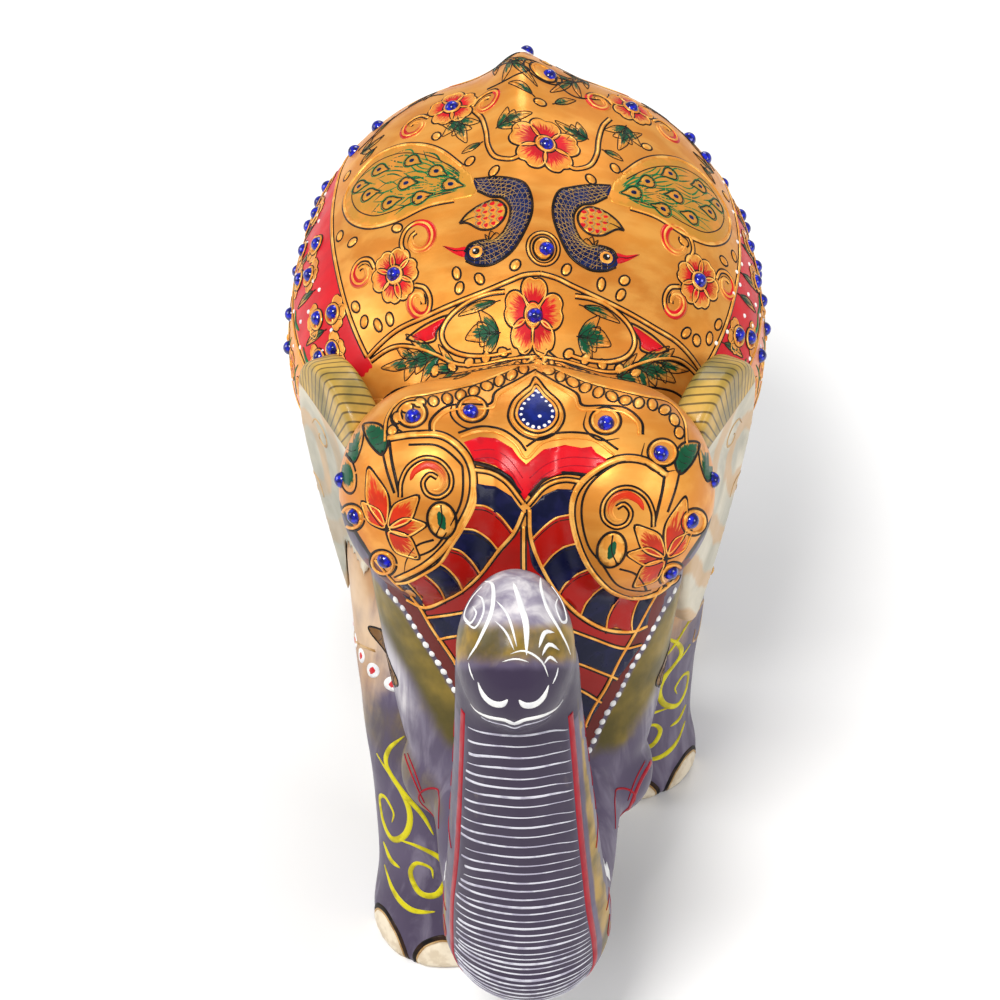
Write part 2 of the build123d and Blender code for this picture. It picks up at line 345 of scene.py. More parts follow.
def skin_paint(name):
    """The painted wood skin; the zones come from signed distances, in mm, held on the mesh."""
    p = Paint(name, rough=0.42, coat=0.07, shine=0.16)
    streak = p.noise(60, 6, (3.2, 3.2, 0.35), 0.6)
    cloud = p.noise(22, 4)
    base = p.mix(p.step(cloud, 0.34, 0.68), PLUM_DARK, PLUM)
    base = p.mix(0.45, base, PLUM)
    base = p.mix(p.times(p.step(streak, 0.45, 0.72), 0.34), base, LILAC)
    wobble = p.swing(p.noise(120, 4), 0.5)
    streaky = p.plus(wobble, p.swing(streak, 0.6))

    def soft(mask, low=0.15, high=0.85):
        return p.step(p.plus(p.attr(mask), streaky), low, high)

    # Darker plum: dark paint on the trunk, and painted shade under the belly.
    base = p.mix(soft("dark_paint_and_shade"), base, PLUM_DARK)
    base = p.mix(soft("pale"), base, p.mix(p.step(streak, 0.35, 0.7), LILAC, (0.72, 0.69, 0.70)))
    base = p.mix(soft("olive"), base, p.mix(p.step(p.noise(60, 4), 0.40, 0.75), OLIVE, OCHRE))
    base = p.mix(soft("ochre"), base, p.mix(p.step(p.noise(90, 4), 0.35, 0.65), OLIVE, (0.42, 0.25, 0.025)))
    base = p.mix(soft("tan"), base, p.mix(p.step(p.noise(40, 4), 0.35, 0.65), (0.46, 0.25, 0.11),
                                          (0.66, 0.47, 0.30)))

    edge = p.swing(p.noise(260, 3), 0.5)

    def inside(zone):
        return p.step(p.plus(p.attr(zone), edge), -0.12, 0.12)

    red_drag = p.step(p.noise(85, 5, (0.6, 3.0, 0.6)), 0.35, 0.7)
    red = p.mix(red_drag, (0.55, 0.008, 0.016), SCARLET)
    hem = p.mix(p.step(p.noise(46, 4), 0.36, 0.62), GOLD, PINK)
    gold = gold_colour(p)
    is_hem, is_red, is_gold = inside("hem"), inside("band"), inside("gold")
    is_gold = p.math("MAXIMUM", is_gold, inside("face"))
    colour = p.mix(is_hem, base, hem)
    colour = p.mix(is_red, colour, red)
    colour = p.mix(p.step(p.plus(p.attr("face"), edge), -1.1, -0.8), colour, INK)
    colour = p.mix(inside("maroon"), colour, MAROON)
    colour = p.mix(inside("brick"), colour, p.mix(red_drag, (0.28, 0.007, 0.004), BRICK))
    is_gold = p.times(is_gold, p.math("SUBTRACT", 1.0, inside("brick")))
    colour = p.mix(is_gold, colour, gold)
    # Painted shade: the skin is darkened in its hollows and creases.
    hollow_shade = p.step(p.attr("hollow"), 0.15, 0.9)
    colour = p.mix(p.times(hollow_shade, 0.55), colour, (0.05, 0.03, 0.02))
    p.colour(colour)
    p.metal(p.times(is_gold, 0.42))
    scuff = p.step(p.noise(150, 4), 0.35, 0.75)
    p.rough(p.plus(p.times(scuff, 0.14), 0.34))
    height = p.plus(p.times(streak, 0.5), p.times(p.noise(330, 3), 0.6))
    p.bump(height, 0.22)
    return p.material


def stroke_paint(name, colour, other, rough, metal=0.0):
    """Brush paint for lines and dots: dry-brush change along the stroke and fine bristle marks."""
    p = Paint(name, rough, 0.06, metal, 0.14)
    bristle = p.noise(9, 4, at=p.vector(p.times(p.attr("along"), 0.35),
                                        p.times(p.attr("tint"), 9.0)))
    speck = p.step(p.noise(240, 3), 0.40, 0.66)
    amount = p.plus(p.times(bristle, 0.55), p.times(speck, 0.45))
    p.colour(p.mix(p.step(amount, 0.30, 0.72), colour, other))
    p.rough(p.step(p.noise(190, 3), 0.3, 0.7, rough - 0.06, rough + 0.12))
    p.bump(p.noise(420, 3), 0.25, 0.0002)
    return p.material


def petal_paint(name, heart, edge, fuzz):
    """Strong colour at the petal's root that breaks up into streaks and then gold towards its tip."""
    p = Paint(name, 0.38, 0.07, shine=0.16)
    streak = p.noise(6, 4, at=p.vector(p.times(p.attr("sweep"), 3.2),
                                       p.times(p.attr("along"), 0.7),
                                       p.times(p.attr("tint"), 6.0)))
    reach = p.plus(p.attr("along"), p.swing(streak, fuzz * 1.6))
    reach = p.plus(reach, p.step(p.attr("inner"), 0.0, 0.8, 0.42, 0.0))
    fade = p.step(reach, edge - 0.16, edge + 0.14)
    rich = p.mix(p.step(p.noise(150, 3), 0.35, 0.65), heart, tuple(0.72 * c for c in heart))
    p.colour(p.mix(fade, rich, gold_colour(p)))
    p.metal(p.times(fade, 0.3))
    p.bump(p.noise(380, 3), 0.22, 0.0002)
    return p.material


def glass_paint(name, deep, facet_highlight):
    """Cut glass: a dark body, painted highlights on its facets, painted shade towards its edges, and a hard
    clear shine.
    """
    p = Paint(name, 0.12, 0.35, 0.0, 0.45)
    p.shader.inputs["Coat Roughness"].default_value = 0.04
    p.shader.inputs["IOR"].default_value = 1.5
    cells = p.node("ShaderNodeTexVoronoi", feature="F1")
    p.feed(cells.inputs["Vector"], p.where)
    cells.inputs["Scale"].default_value = 900
    lit_facet_mask = p.step(cells.outputs["Distance"], 0.15, 0.75)
    rim = p.node("ShaderNodeLayerWeight").outputs["Facing"]
    # Painted highlights on the lit facets, and painted shade where the stone turns away towards its edges.
    p.colour(p.mix(p.times(p.step(rim, 0.2, 0.9), 0.7), p.mix(lit_facet_mask, facet_highlight, deep), deep))
    p.bump(cells.outputs["Distance"], 0.25, 0.0003)
    return p.material


def ear_paint(name):
    """Pale grey-white ear faces with tan swirls, and an ochre rim ruled with fine dark lines."""
    p = Paint(name, 0.40, 0.12)
    swirl = p.noise(26, 5, distortion=1.8)
    face = p.mix(p.step(swirl, 0.38, 0.64), (0.40, 0.38, 0.30), (0.66, 0.60, 0.47))
    wave = p.plus(p.times(p.attr("ring"), 0.62), p.times(swirl, 7.0))
    bands = p.step(p.math("SINE", wave), -0.1, 0.7)
    face = p.mix(p.times(bands, 0.75), face, (0.58, 0.35, 0.16))
    face = p.mix(p.times(p.step(p.noise(30, 4), 0.52, 0.7), 0.6), face, (0.20, 0.20, 0.15))
    rim = p.mix(p.step(p.noise(50, 5), 0.36, 0.64), (0.20, 0.15, 0.03), (0.62, 0.38, 0.07))
    lines = p.math("SINE", p.times(p.attr("round"), 2.3))
    rim = p.mix(p.times(p.step(lines, 0.55, 0.95), 0.75), rim, INK)
    out = p.attr("outward")
    top = p.step(p.attr("above"), -0.3, 0.3)
    colour = p.mix(p.times(top, p.step(out, 6.9, 7.1, 1.0, 0.0)), face, gold_colour(p))
    colour = p.mix(p.times(top, p.step(out, 5.9, 6.1, 1.0, 0.0)), colour, INK)
    colour = p.mix(p.times(top, p.step(out, 4.8, 5.0, 1.0, 0.0)), colour, rim)
    p.colour(colour)
    p.rough(p.step(p.noise(140, 4), 0.3, 0.7, 0.34, 0.5))
    p.bump(p.plus(swirl, p.noise(320, 3)), 0.18)
    return p.material


def tail_paint(name):
    """Plum tail with brushed hair strokes that gather into a dark golden tuft."""
    p = Paint(name, 0.38, 0.28)
    hair = p.noise(70, 5, (4.0, 4.0, 0.25), 0.4)
    body = p.mix(p.step(hair, 0.4, 0.65), PLUM_DARK, LILAC)
    tuft = p.mix(p.step(hair, 0.42, 0.60), INK, (0.45, 0.24, 0.04))
    p.colour(p.mix(p.step(p.attr("drop"), 0.62, 0.70), body, tuft))
    p.bump(hair, 0.35)
    return p.material


# ---------------------------------------------------------------- the carved skin

LEG_FEET = {"front_right": (-22.7, -53.5), "front_left": (30.0, 5.5), "rear_left": (31.0, 58.0),
            "rear_right": (-29.0, 94.0)}
LEG_HIPS = {"front_right": (-29.0, 5.0), "front_left": (31.0, 14.0), "rear_left": (35.0, 79.0),
            "rear_right": (-34.0, 78.0)}
VEE_RIGHT = [(-60, 100), (-36.5, 63.5), (-32.3, 58.1), (-27.4, 53), (-23.5, 46.4), (-20.9, 42.4),
             (-17.6, 37.2), (-11, 25), (-5, 9), (1, -6)]
VEE_LEFT = [(1, -6), (5, 1), (9, 9), (13.9, 19.5), (16.5, 25.5), (19.9, 31.2), (23, 38), (26.4, 44),
            (30.5, 52), (34.5, 58.5), (60, 96)]
ARCS_FOOT = [(-38, 48), (-25.3, 51.4), (-18.6, 53.3), (-12.6, 58.7), (-6.2, 65.2), (-0.8, 71.6),
             (2.7, 63.9), (7.9, 55.4), (13.1, 49.3), (19.8, 45.8), (27.3, 45.1), (38, 45)]
COLUMN_HEIGHTS = [30, 54, 66, 80, 98, 120, 140, 158, 178]
COLUMN_Y = [-93, -93, -95.5, -97.5, -98.5, -98.5, -98, -98, -98]
STRIP_HEIGHTS = [34, 45, 57, 76, 99, 116, 130, 146]
STRIP_RIGHT = [-12, -18.2, -19.0, -18.4, -16.6, -15.9, -15.2, -14.6]
STRIP_LEFT = [12, 16.8, 17.3, 15.2, 13.3, 12.0, 11.1, 9.9]


def back_angle(points):
    """Angle round the back's long axis, in degrees, from straight up."""
    return np.degrees(np.arctan2(points[:, 0], points[:, 2] - BACK_AXIS_HEIGHT))


def back_lean(across):
    """How far the cloth's middle line sits to one side; the lean dies out down the flanks."""
    return BACK_LEAN * (1 - smooth_step(60, 100, np.abs(across)))


def back_place(points):
    """The cloth's own two measures, in mm: across from its middle line, and along towards the rump."""
    across = np.radians(back_angle(points)) * BACK_RADIUS
    reach = np.hypot(points[:, 0], points[:, 2] - BACK_AXIS_HEIGHT)
    over = RUMP_START + RUMP_RADIUS * np.arctan2(points[:, 1] - RUMP_START, np.maximum(reach, 1e-3))
    return across - back_lean(across), np.where(points[:, 1] > RUMP_START, over, points[:, 1])


def cloth_zones(points):
    """Signed distances, in mm, inside the gold back, the red band and the hem."""
    u, s = back_place(points)
    u = np.abs(u)
    front = 16 + 0.32 * (u - 60)
    rear = 112 - 0.0022 * u * u
    lengthwise = np.where(u > 60, np.minimum(s - front + 22 * (1 - smooth_step(60, 66, u)), rear - s),
                          rear - s)
    gold = np.minimum(66.0 - 0.012 * np.maximum(30 - s, 0) - u, rear - 12 - s)
    band = np.minimum(86.0 - u, np.minimum(rear - s, lengthwise + 30))
    hem = np.minimum(104.0 - u, np.minimum(rear + 13 - s, lengthwise + 36))
    return gold, band, hem


def face_zone(points):
    """Signed distance to the painted face: inside the V, and above a slanting line beside the domes."""
    stencil = np.stack([points[:, 0], SLANT * (points[:, 1] + points[:, 2])], 1)
    right = line_distance(stencil, VEE_RIGHT[::-1])
    left = line_distance(stencil, VEE_LEFT[::-1])
    side = (points[:, 2] - (134 + 0.55 * (points[:, 1] + 57))) * 0.9
    side = side + 4 * np.maximum(36 - np.abs(points[:, 0]), 0)
    ahead = 40 - np.maximum(points[:, 1] + 30, 0)
    return np.minimum(np.minimum(-right, -left), np.minimum(side, ahead))


points, quads = remeshed(["body", "head", "trunk"], SKIN_VOXEL)
edges = edges_of(quads)
everywhere = np.ones(len(points))
points = relax(points, edges, everywhere, 6)
x, y, z = points.T
creases = hump(y, -10, 15) * smooth_step(60, 80, z)
creases = np.maximum(creases, hump(y, -70, 12) * smooth_step(30, 45, z))
creases = np.maximum(creases, hump(z, 104, 24) * smooth_step(0, 8, y + 4))
creases = np.maximum(creases, hump(z, 96, 22) * (y < 0) * (y > -48) * 0.9)
creases = np.maximum(creases, hump(np.hypot(y + 104, z - 146), 0, 8) * (z < 152))
points = relax(points, edges, creases, 26, 0.6, 0.0)
points = relax(points, edges, hump(y, -11, 26) * smooth_step(148, 162, z), 60, 0.6, 0.0)
points = relax(points, edges, hump(x, 0, 16) * smooth_step(176, 182, z) * (y > 40), 10, 0.6, 0.0)
points = relax(points, edges, everywhere, 3)
low, high = (from_row(corner)[0] for corner in CAD_BOX)
points = np.clip(points, low + 0.05, high - 0.05)
points[:, 2] = np.where(points[:, 2] < 0.35, 0.0, points[:, 2])
skin_tree = BVHTree.FromPolygons(points.tolist(), quads.tolist())
x, y, z = points.T

mean = relax(points, edges, everywhere, 14, 0.6, 0.0)
fan = points[quads]
face_normal = np.cross(fan[:, 2] - fan[:, 0], fan[:, 3] - fan[:, 1])
normal = np.zeros_like(points)
for k in range(4):
    np.add.at(normal, quads[:, k], face_normal)
normal /= np.linalg.norm(normal, axis=1)[:, None] + 1e-12
# How deep each point lies below the smoothed skin; the skin paint darkens these hollows as painted shade.
hollow = np.clip(((mean - points) * normal).sum(1) / 0.6 - 0.25, 0, 1)

gold, band, hem = cloth_zones(points)
on_cloth = smooth_step(70, 76, z) * (y > -16)
gold = np.where(on_cloth > 0, gold, OUT_OF_ZONE)
band = np.where(on_cloth > 0, band, OUT_OF_ZONE)
hem = np.where(on_cloth > 0, hem, OUT_OF_ZONE)
nape = (np.abs(x) < 52) & (y > -40) & (y < 4) & (z > 140 + 10 * smooth_step(-16, -30, y))
gold = np.where(nape, np.maximum(gold, 5.0), gold)
face = np.where(y < -8, face_zone(points), OUT_OF_ZONE)
face = np.where((y > -34) & (y < -8) & (z > 158), 6.0, face)
face = np.where((y < -84) | ((y < -74) & (z > 136)), OUT_OF_ZONE, face)
throat = y > -30 - 0.5 * (150 - z)
face = np.where(throat & (z < 150), OUT_OF_ZONE, face)
up = SLANT * (y + z)
stencil = np.stack([x, up], 1)
beyond_vee = np.maximum(line_distance(stencil, VEE_RIGHT[::-1]), line_distance(stencil, VEE_LEFT[::-1]))
front_face = (y < -30) & (y > -84) & (np.abs(x) < 40) & (face > -8)
arcs_foot = np.interp(x, [p[0] for p in ARCS_FOOT], [p[1] for p in ARCS_FOOT])
brick = np.where(front_face, np.minimum(face, arcs_foot - up), OUT_OF_ZONE)
maroon = np.where(front_face & (up < 64), np.minimum(3.4 - beyond_vee, 0.6 + beyond_vee), OUT_OF_ZONE)

cy = np.interp(z, COLUMN_HEIGHTS, COLUMN_Y)
strip = np.minimum(x - np.interp(z, STRIP_HEIGHTS, STRIP_RIGHT),
                   np.interp(z, STRIP_HEIGHTS, STRIP_LEFT) - x)
ahead = y < cy - 3
strip = np.where(ahead & (y < -88) & (z < 151), strip, OUT_OF_ZONE)
on_trunk = y < -80
column_edge = np.where(on_trunk & (z < 149), hump(strip, -3.0, 3.6) * (strip > -8), 0)
tip_front = (y < -96) & (z > 143)
face_plane = 0.75 * (-(y + 100)) - 0.66 * (z - 161)
tip_dark = smooth_step(1.0, 5.0, face_plane) * tip_front
tip_ochre = 0.8 * hump(face_plane, -2.5, 6.5) * smooth_step(-88, -98, y) * (z > 158)
ring = hump(z, 152, 9) * (y < -80)
crown = smooth_step(170, 176, z) * (y < -80)

# Dark paint on the trunk's front strip and the tip's face, and painted shade under the belly between the
# front legs.
dark_paint_and_shade = np.clip(smooth_step(-1, 2, strip) * 0.8 + tip_dark + 0.5 * (z < 60) * (np.abs(x) < 20) * (y > -60),
                0, 1)
cheek = hump(np.abs(x), 36, 13) * hump(z, 118, 46) * smooth_step(-12, -22, y) * smooth_step(-70, -52, y)
pale = np.clip(0.62 * crown + 0.72 * cheek * smooth_step(6, 14,
        beyond_vee) * (face < 0) + 0.5 * ring * (1 - tip_dark), 0, 1)
outside_v = smooth_step(3.6, 5.4, beyond_vee) * smooth_step(17, 8, beyond_vee) * smooth_step(-30, -42,
                                                                                             y) * (y > -86)
outside_v = outside_v * smooth_step(66, 56, up) * smooth_step(8, 20, up) * smooth_step(56, 70,
                                                                                       z) * (face < 0)
outside_v = outside_v + 0.45 * hump(z, 66, 16) * smooth_step(-20, -30, y) * smooth_step(-16, -24,
        x) * smooth_step(-84, -76, y)
shoulder = hump(np.hypot(y + 18, (z - 92) * 0.7), 0, 36) * smooth_step(28, 38, np.abs(x)) * smooth_step(-46,
        -38, y)
haunch = hump(np.hypot(y - 84, (z - 96) * 0.8), 0, 30) * smooth_step(34, 44, np.abs(x))
olive = np.clip(outside_v, 0, 1)
ochre = np.clip(0.95 * tip_ochre + 0.8 * column_edge * smooth_step(-1.2, -2.0, strip), 0, 1)
tan = np.clip(0.75 * shoulder + 0.3 * haunch, 0, 1)
values = {"gold": gold, "band": band, "hem": hem, "face": face, "brick": brick, "maroon": maroon,
          "dark_paint_and_shade": dark_paint_and_shade, "pale": pale, "olive": olive, "ochre": ochre, "tan": tan, "hollow": hollow}

trees = {}
for name in ("body", "head", "trunk"):
    shape, faces = cad_mesh([name])
    trees[name] = BVHTree.FromPolygons(shape.tolist(), faces)
middle = points[quads].mean(1)
gaps = np.array([[trees[name].find_nearest(Vector(c))[3] or 0 for name in trees] for c in middle])
owner = gaps.argmin(1)
HIDDEN = {"body": ["body", "neck_dowel_left", "neck_dowel_right"], "head": ["head", "ear_dowel_left",
        "ear_dowel_right"], "trunk": ["trunk", "trunk_dowel"]}
for k, name in enumerate(trees):
    chosen = quads[owner == k]
    used, faces = np.unique(chosen, return_inverse=True)
    faces = faces.reshape(chosen.shape)
    piece = new_object("painted_" + name, points[used], faces, skin_paint(name + "_paint"),
                       {key: v[used] for key, v in values.items()})
    piece.data.normals_split_custom_set_from_vertices(normal[used].tolist())
    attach(piece, "root")
    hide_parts(*HIDDEN[name])


def soft_piece(node, voxel, paint, extra=(), measures=None):
    """A CAD flap or rod with its edges eased, as one piece."""
    shape, faces = remeshed([node], voxel)
    links = edges_of(faces)
    shape = relax(shape, links, np.ones(len(shape)), 5)
    piece = new_object("painted_" + node, shape, faces, paint, measures(shape))
    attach(piece, "root")
    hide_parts(node, *extra)
    return shape, faces


def ear_measures(shape):
    """Out from the flap's inner face, up from its shoulder and round its outline, in mm."""
    y, z = shape[:, 1], shape[:, 2]
    outward = np.abs(shape[:, 0]) - 41.5 - 0.53 * (y + 27)
    return {"outward": outward, "above": np.minimum(z - 148, 40 - np.abs(y)),
            "round": np.degrees(np.arctan2(z - 120, y)) * 0.9,
            "ring": np.hypot(y, (z - 128) * 0.7)}


ear_material = ear_paint("ear_paint")
ears = {}
for side in ("left", "right"):
    ears[side] = soft_piece("ear_" + side, EAR_VOXEL, ear_material, measures=ear_measures)
soft_piece("tail", TAIL_VOXEL, tail_paint("tail_paint"), ["tail_peg"],
           lambda s: {"drop": 1 - (s[:, 2] - s[:, 2].min()) / np.ptp(s[:, 2])})

glass = {
    "blue": glass_paint("blue_glass", (0.001, 0.002, 0.10), (0.006, 0.014, 0.62)),
    "red": glass_paint("red_glass", (0.20, 0.001, 0.004), (0.85, 0.01, 0.02)),
    "yellow": glass_paint("yellow_glass", (0.50, 0.22, 0.004), (0.95, 0.62, 0.05)),
}
for name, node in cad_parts.items():
    if "stones" in name:
        tone = name.rsplit("_", 1)[1] if name.startswith("shoulder") else "blue"
        for holder in node.material_slots:
            holder.link = "OBJECT"
            holder.material = glass[tone]


# ---------------------------------------------------------------- places on the skin

def cast(tree, start, way, spare):
    """Where a ray meets the surface, and which way it faces; else the nearest place to spare."""
    place, facing, _, _ = tree.ray_cast(Vector(start), Vector(way))
    if place is None:
        place, facing, _, _ = tree.find_nearest(Vector(spare))
    return np.array(place), np.array(facing)


def on_back(u, s):
    """The cloth's measures back to the surface; beyond RUMP_START they turn down over the rump."""
    turn = (u + float(back_lean(u))) / BACK_RADIUS
    tip = max(s - RUMP_START, 0.0) / RUMP_RADIUS
    way = np.array((math.sin(turn) * math.cos(tip), math.sin(tip), math.cos(turn) * math.cos(tip)))
    axis = np.array((0.0, min(s, RUMP_START), BACK_AXIS_HEIGHT))
    return cast(skin_tree, axis + way * 130, -way, axis + way * 55)


def on_flank(t, s):
    """As on_back, with no lean: across from straight up, and along."""
    return on_back(t - float(back_lean(t)), s)


def on_face(x, up):
    """Seen square-on from in front and above, with the raised trunk left out."""
    way = np.array((0, SLANT, -SLANT))
    middle = np.array((x, SLANT * up, SLANT * up))
    place, facing = cast(face_tree, middle - way * 200, way, middle - way * 80)
    return (place if -facing @ way > 0.2 else place * np.nan), facing


def on_column(x, z):
    """The trunk's front, running on under its bend."""
    tip = max(TRUNK_BEND_HEIGHT - z, 0.0) / TRUNK_BEND_RADIUS
    way = np.array((0, -math.cos(tip), -math.sin(tip)))
    start = np.array((x, -93.0, max(z, TRUNK_BEND_HEIGHT))) + way * 60
    return cast(skin_tree, start, -way, start - way * 38)


def on_tip(x, y):
    return cast(skin_tree, (x, y, 230), (0, 0, -1), (x, y, 176))


def on_tip_face(x, z):
    return cast(skin_tree, (x, -170, z), (0, 1, 0), (x, -117, z))


def on_leg(leg, side=1):
    """Round one leaning leg, in mm from its outward side, and height; nan where something else is hit."""
    foot, hip = np.array(LEG_FEET[leg]), np.array(LEG_HIPS[leg])
    outward = math.copysign(math.pi / 2, foot[0])

    def place(arc, z):
        turn = outward + side * arc / LEG_RADIUS
        way = np.array((math.sin(turn), -math.cos(turn), 0))
        centre = np.array((*(foot + (hip - foot) * z / HIP_HEIGHT), z))
        hit, facing = cast(skin_tree, centre + way * 29, -way, centre + way * LEG_RADIUS)
        return (hit if math.dist(hit, centre) < LEG_REACH else hit * np.nan), facing
    return place


def on_side(side, tree):
    """Seen square-on from one side: y, z."""
    def place(y, z):
        return cast(tree, (side * 150, y, z), (-side, 0, 0), (side * 50, y, z))
    place.surface = tree
    return place


def mirrored(where, side):
    return lambda a, b: where(side * a, b)


# ---------------------------------------------------------------- brush work

PILES = {}
TAPERS = {
    "none": lambda s: np.ones_like(s),
    "both": lambda s: 0.12 + 0.88 * np.sin(np.pi * s) ** 0.7,
    "end": lambda s: 0.10 + 0.90 * (1 - s) ** 0.7,
    "start": lambda s: 0.10 + 0.90 * s ** 0.7,
    "drop": lambda s: 0.10 + 1.25 * np.sqrt(s) * (1 - s ** 3),
}
ACROSS = np.array((-1, -1, -0.45, 0.45, 1, 1))
STROKE_STEP = 0.8
LONGEST_LEAP = 3.2 + 2 * STROKE_STEP
INK_SPREAD = 1.3
INK_BLEED = 0.08


def heap(name, points, faces, along, sweep, inner):
    """Adds one mark to the mesh of its paint."""
    pile = PILES.setdefault(name, {"points": [], "faces": [], "along": [], "sweep": [], "tint": [],
                                   "inner": [], "size": 0})
    tint = DICE.random()
    pile["points"].append(points)
    pile["faces"] += [[pile["size"] + i for i in f] for f in faces]
    pile["along"].append(along)
    pile["sweep"].append(sweep)
    pile["inner"].append(inner)
    pile["tint"].append(np.full(len(points), tint))
    pile["size"] += len(points)


def smooth_line(points, step, closed=False):
    p = np.array(points, float)
    ends = (p[-1], p[0], p[1]) if closed else (2 * p[0] - p[1], 2 * p[-1] - p[-2])
    row = np.vstack([ends[0], p, *ends[1:]])
    out = []
    for a, b, c, d in zip(row[:-3], row[1:-2], row[2:-1], row[3:]):
        count = int(np.linalg.norm(c - b) / step) + 1
        t = np.linspace(0, 1, count, endpoint=False)[:, None]
        bend, twist = 2 * a - 5 * b + 4 * c - d, 3 * b - a - 3 * c + d
        out.append(0.5 * (2 * b + (c - a) * t + bend * t * t + twist * t ** 3))
    if not closed:
        out.append(p[-1:])
    return np.vstack(out)


def stroke(name, where, points, width=0.6, height=0.16, taper="none", closed=False):
    """One brush stroke or moulded line along a smooth path, cut where it leaps or leaves the surface."""
    if name == "ink":
        width = INK_SPREAD * width + INK_BLEED
    line = smooth_line(points, STROKE_STEP, closed)
    hits = [where(*q) for q in line]
    centre = np.array([h[0] for h in hits])
    facing = np.array([h[1] for h in hits])
    surface = getattr(where, "surface", skin_tree)
    leaps = ~(np.linalg.norm(np.diff(centre, axis=0), axis=1) <= LONGEST_LEAP)
    if not leaps.any():
        ribbon(name, surface, centre, facing, width, height, taper, closed)
        return
    cuts = [0, *(np.nonzero(leaps)[0] + 1), len(line)]
    for a, b in zip(cuts[:-1], cuts[1:]):
        if b - a > 4 and not np.isnan(centre[a:b]).any():
            ribbon(name, surface, centre[a:b], facing[a:b], width, height, "none", False)


def ribbon(name, surface, centre, facing, width, height, taper, closed):
    """The closed strip of paint over a row of places; a wide one has each point laid on the surface."""
    if closed:
        tangent = np.roll(centre, -1, 0) - np.roll(centre, 1, 0)
        facing = facing + 0.5 * (np.roll(facing, 1, 0) + np.roll(facing, -1, 0))
    else:
        tangent = np.gradient(centre, axis=0)
        padded = np.vstack([facing[:1], facing, facing[-1:]])
        facing = facing + 0.5 * (padded[:-2] + padded[2:])
    facing /= np.linalg.norm(facing, axis=1)[:, None] + 1e-9
    cross = np.cross(facing, tangent)
    cross /= np.linalg.norm(cross, axis=1)[:, None] + 1e-9
    walked = np.concatenate([[0], np.cumsum(np.linalg.norm(np.diff(centre, axis=0), axis=1))])
    s = walked / max(walked[-1], 1e-6)
    half = 0.5 * width * TAPERS[taper](s)
    ring = centre[:, None] + cross[:, None] * (half[:, None] * ACROSS)[:, :, None]
    if width > 1.5:
        near = [surface.find_nearest(Vector(q))[0] for q in ring.reshape(-1, 3)]
        ring = np.array(near).reshape(ring.shape)
    lift = np.array((-0.25, 0.03, height, height, 0.03, -0.25))
    ring = ring + facing[:, None] * lift[None, :, None]
    n, faces = len(centre), []
    for i in range(n if closed else n - 1):
        a, b = i * 6, (i + 1) % n * 6
        faces += [(a + k, a + k + 1, b + k + 1, b + k) for k in range(5)] + [(a + 5, a, b, b + 5)]
    if not closed:
        faces += [tuple(range(5, -1, -1)), tuple((n - 1) * 6 + k for k in range(6))]
    inner = 1 - 0.8 * np.abs(ACROSS)
    heap(name, ring.reshape(-1, 3), faces, np.repeat(s, 6), np.tile(ACROSS, n), np.tile(inner, n))


def patch(name, where, outline, height=0.12, root=None, reach=None, pitch=1.1, rounded=True):
    """A filled painted shape, slightly cushioned, with measures from its root for colour that fades."""
    edge = smooth_line(outline, 0.7, True) if rounded else np.array(outline, float)
    low, high = edge.min(0), edge.max(0)
    grid = [(a, b) for a in np.arange(low[0] + 0.3, high[0], pitch)
            for b in np.arange(low[1] + 0.3, high[1], pitch)]
    dots = [Vector(q) for q in edge] + [Vector(q) for q in grid]
    ring = [(k, (k + 1) % len(edge)) for k in range(len(edge))]
    flat, _, triangles, _, _, _ = delaunay_2d_cdt(dots, ring, [], 1, 1e-4)
    used = sorted({i for t in triangles for i in t})
    index = {old: new for new, old in enumerate(used)}
    triangles = [[index[i] for i in t] for t in triangles]
    flat = np.array([flat[i] for i in used])
    if len(flat) < 3:
        return
    hits = [where(*q) for q in flat]
    whole = [t for t in triangles if all(math.dist(hits[t[k]][0], hits[t[k - 1]][0]) < 5.5
                                         for k in range(len(t)))]
    used = sorted({i for t in whole for i in t})
    if not used:
        return
    index = {old: new for new, old in enumerate(used)}
    triangles = [[index[i] for i in t] for t in whole]
    flat = flat[used]
    centre = np.array([hits[i][0] for i in used])
    facing = np.array([hits[i][1] for i in used])
    depth = np.sqrt(((flat[:, None] - edge[None]) ** 2).sum(2)).min(1)
    top = centre + facing * (0.04 + height * np.minimum(depth / 0.9, 1))[:, None]
    count = {}
    for t in triangles:
        for k in range(len(t)):
            pair = (t[k], t[(k + 1) % len(t)])
            count[tuple(sorted(pair))] = None if tuple(sorted(pair)) in count else pair
    n = len(top)
    faces = list(triangles) + [(b, a, a + n, b + n) for a, b in (p for p in count.values() if p)]
    root = np.array(root if root is not None else flat.mean(0), float)
    away = flat - root
    reach = reach or np.linalg.norm(away, axis=1).max()
    along = np.linalg.norm(away, axis=1) / reach
    sweep = np.arctan2(away[:, 1], away[:, 0])
    heap(name, np.vstack([top, centre - facing * 0.2]), faces, np.tile(along, 2), np.tile(sweep, 2),
         np.tile(np.minimum(depth / 1.5, 1), 2))


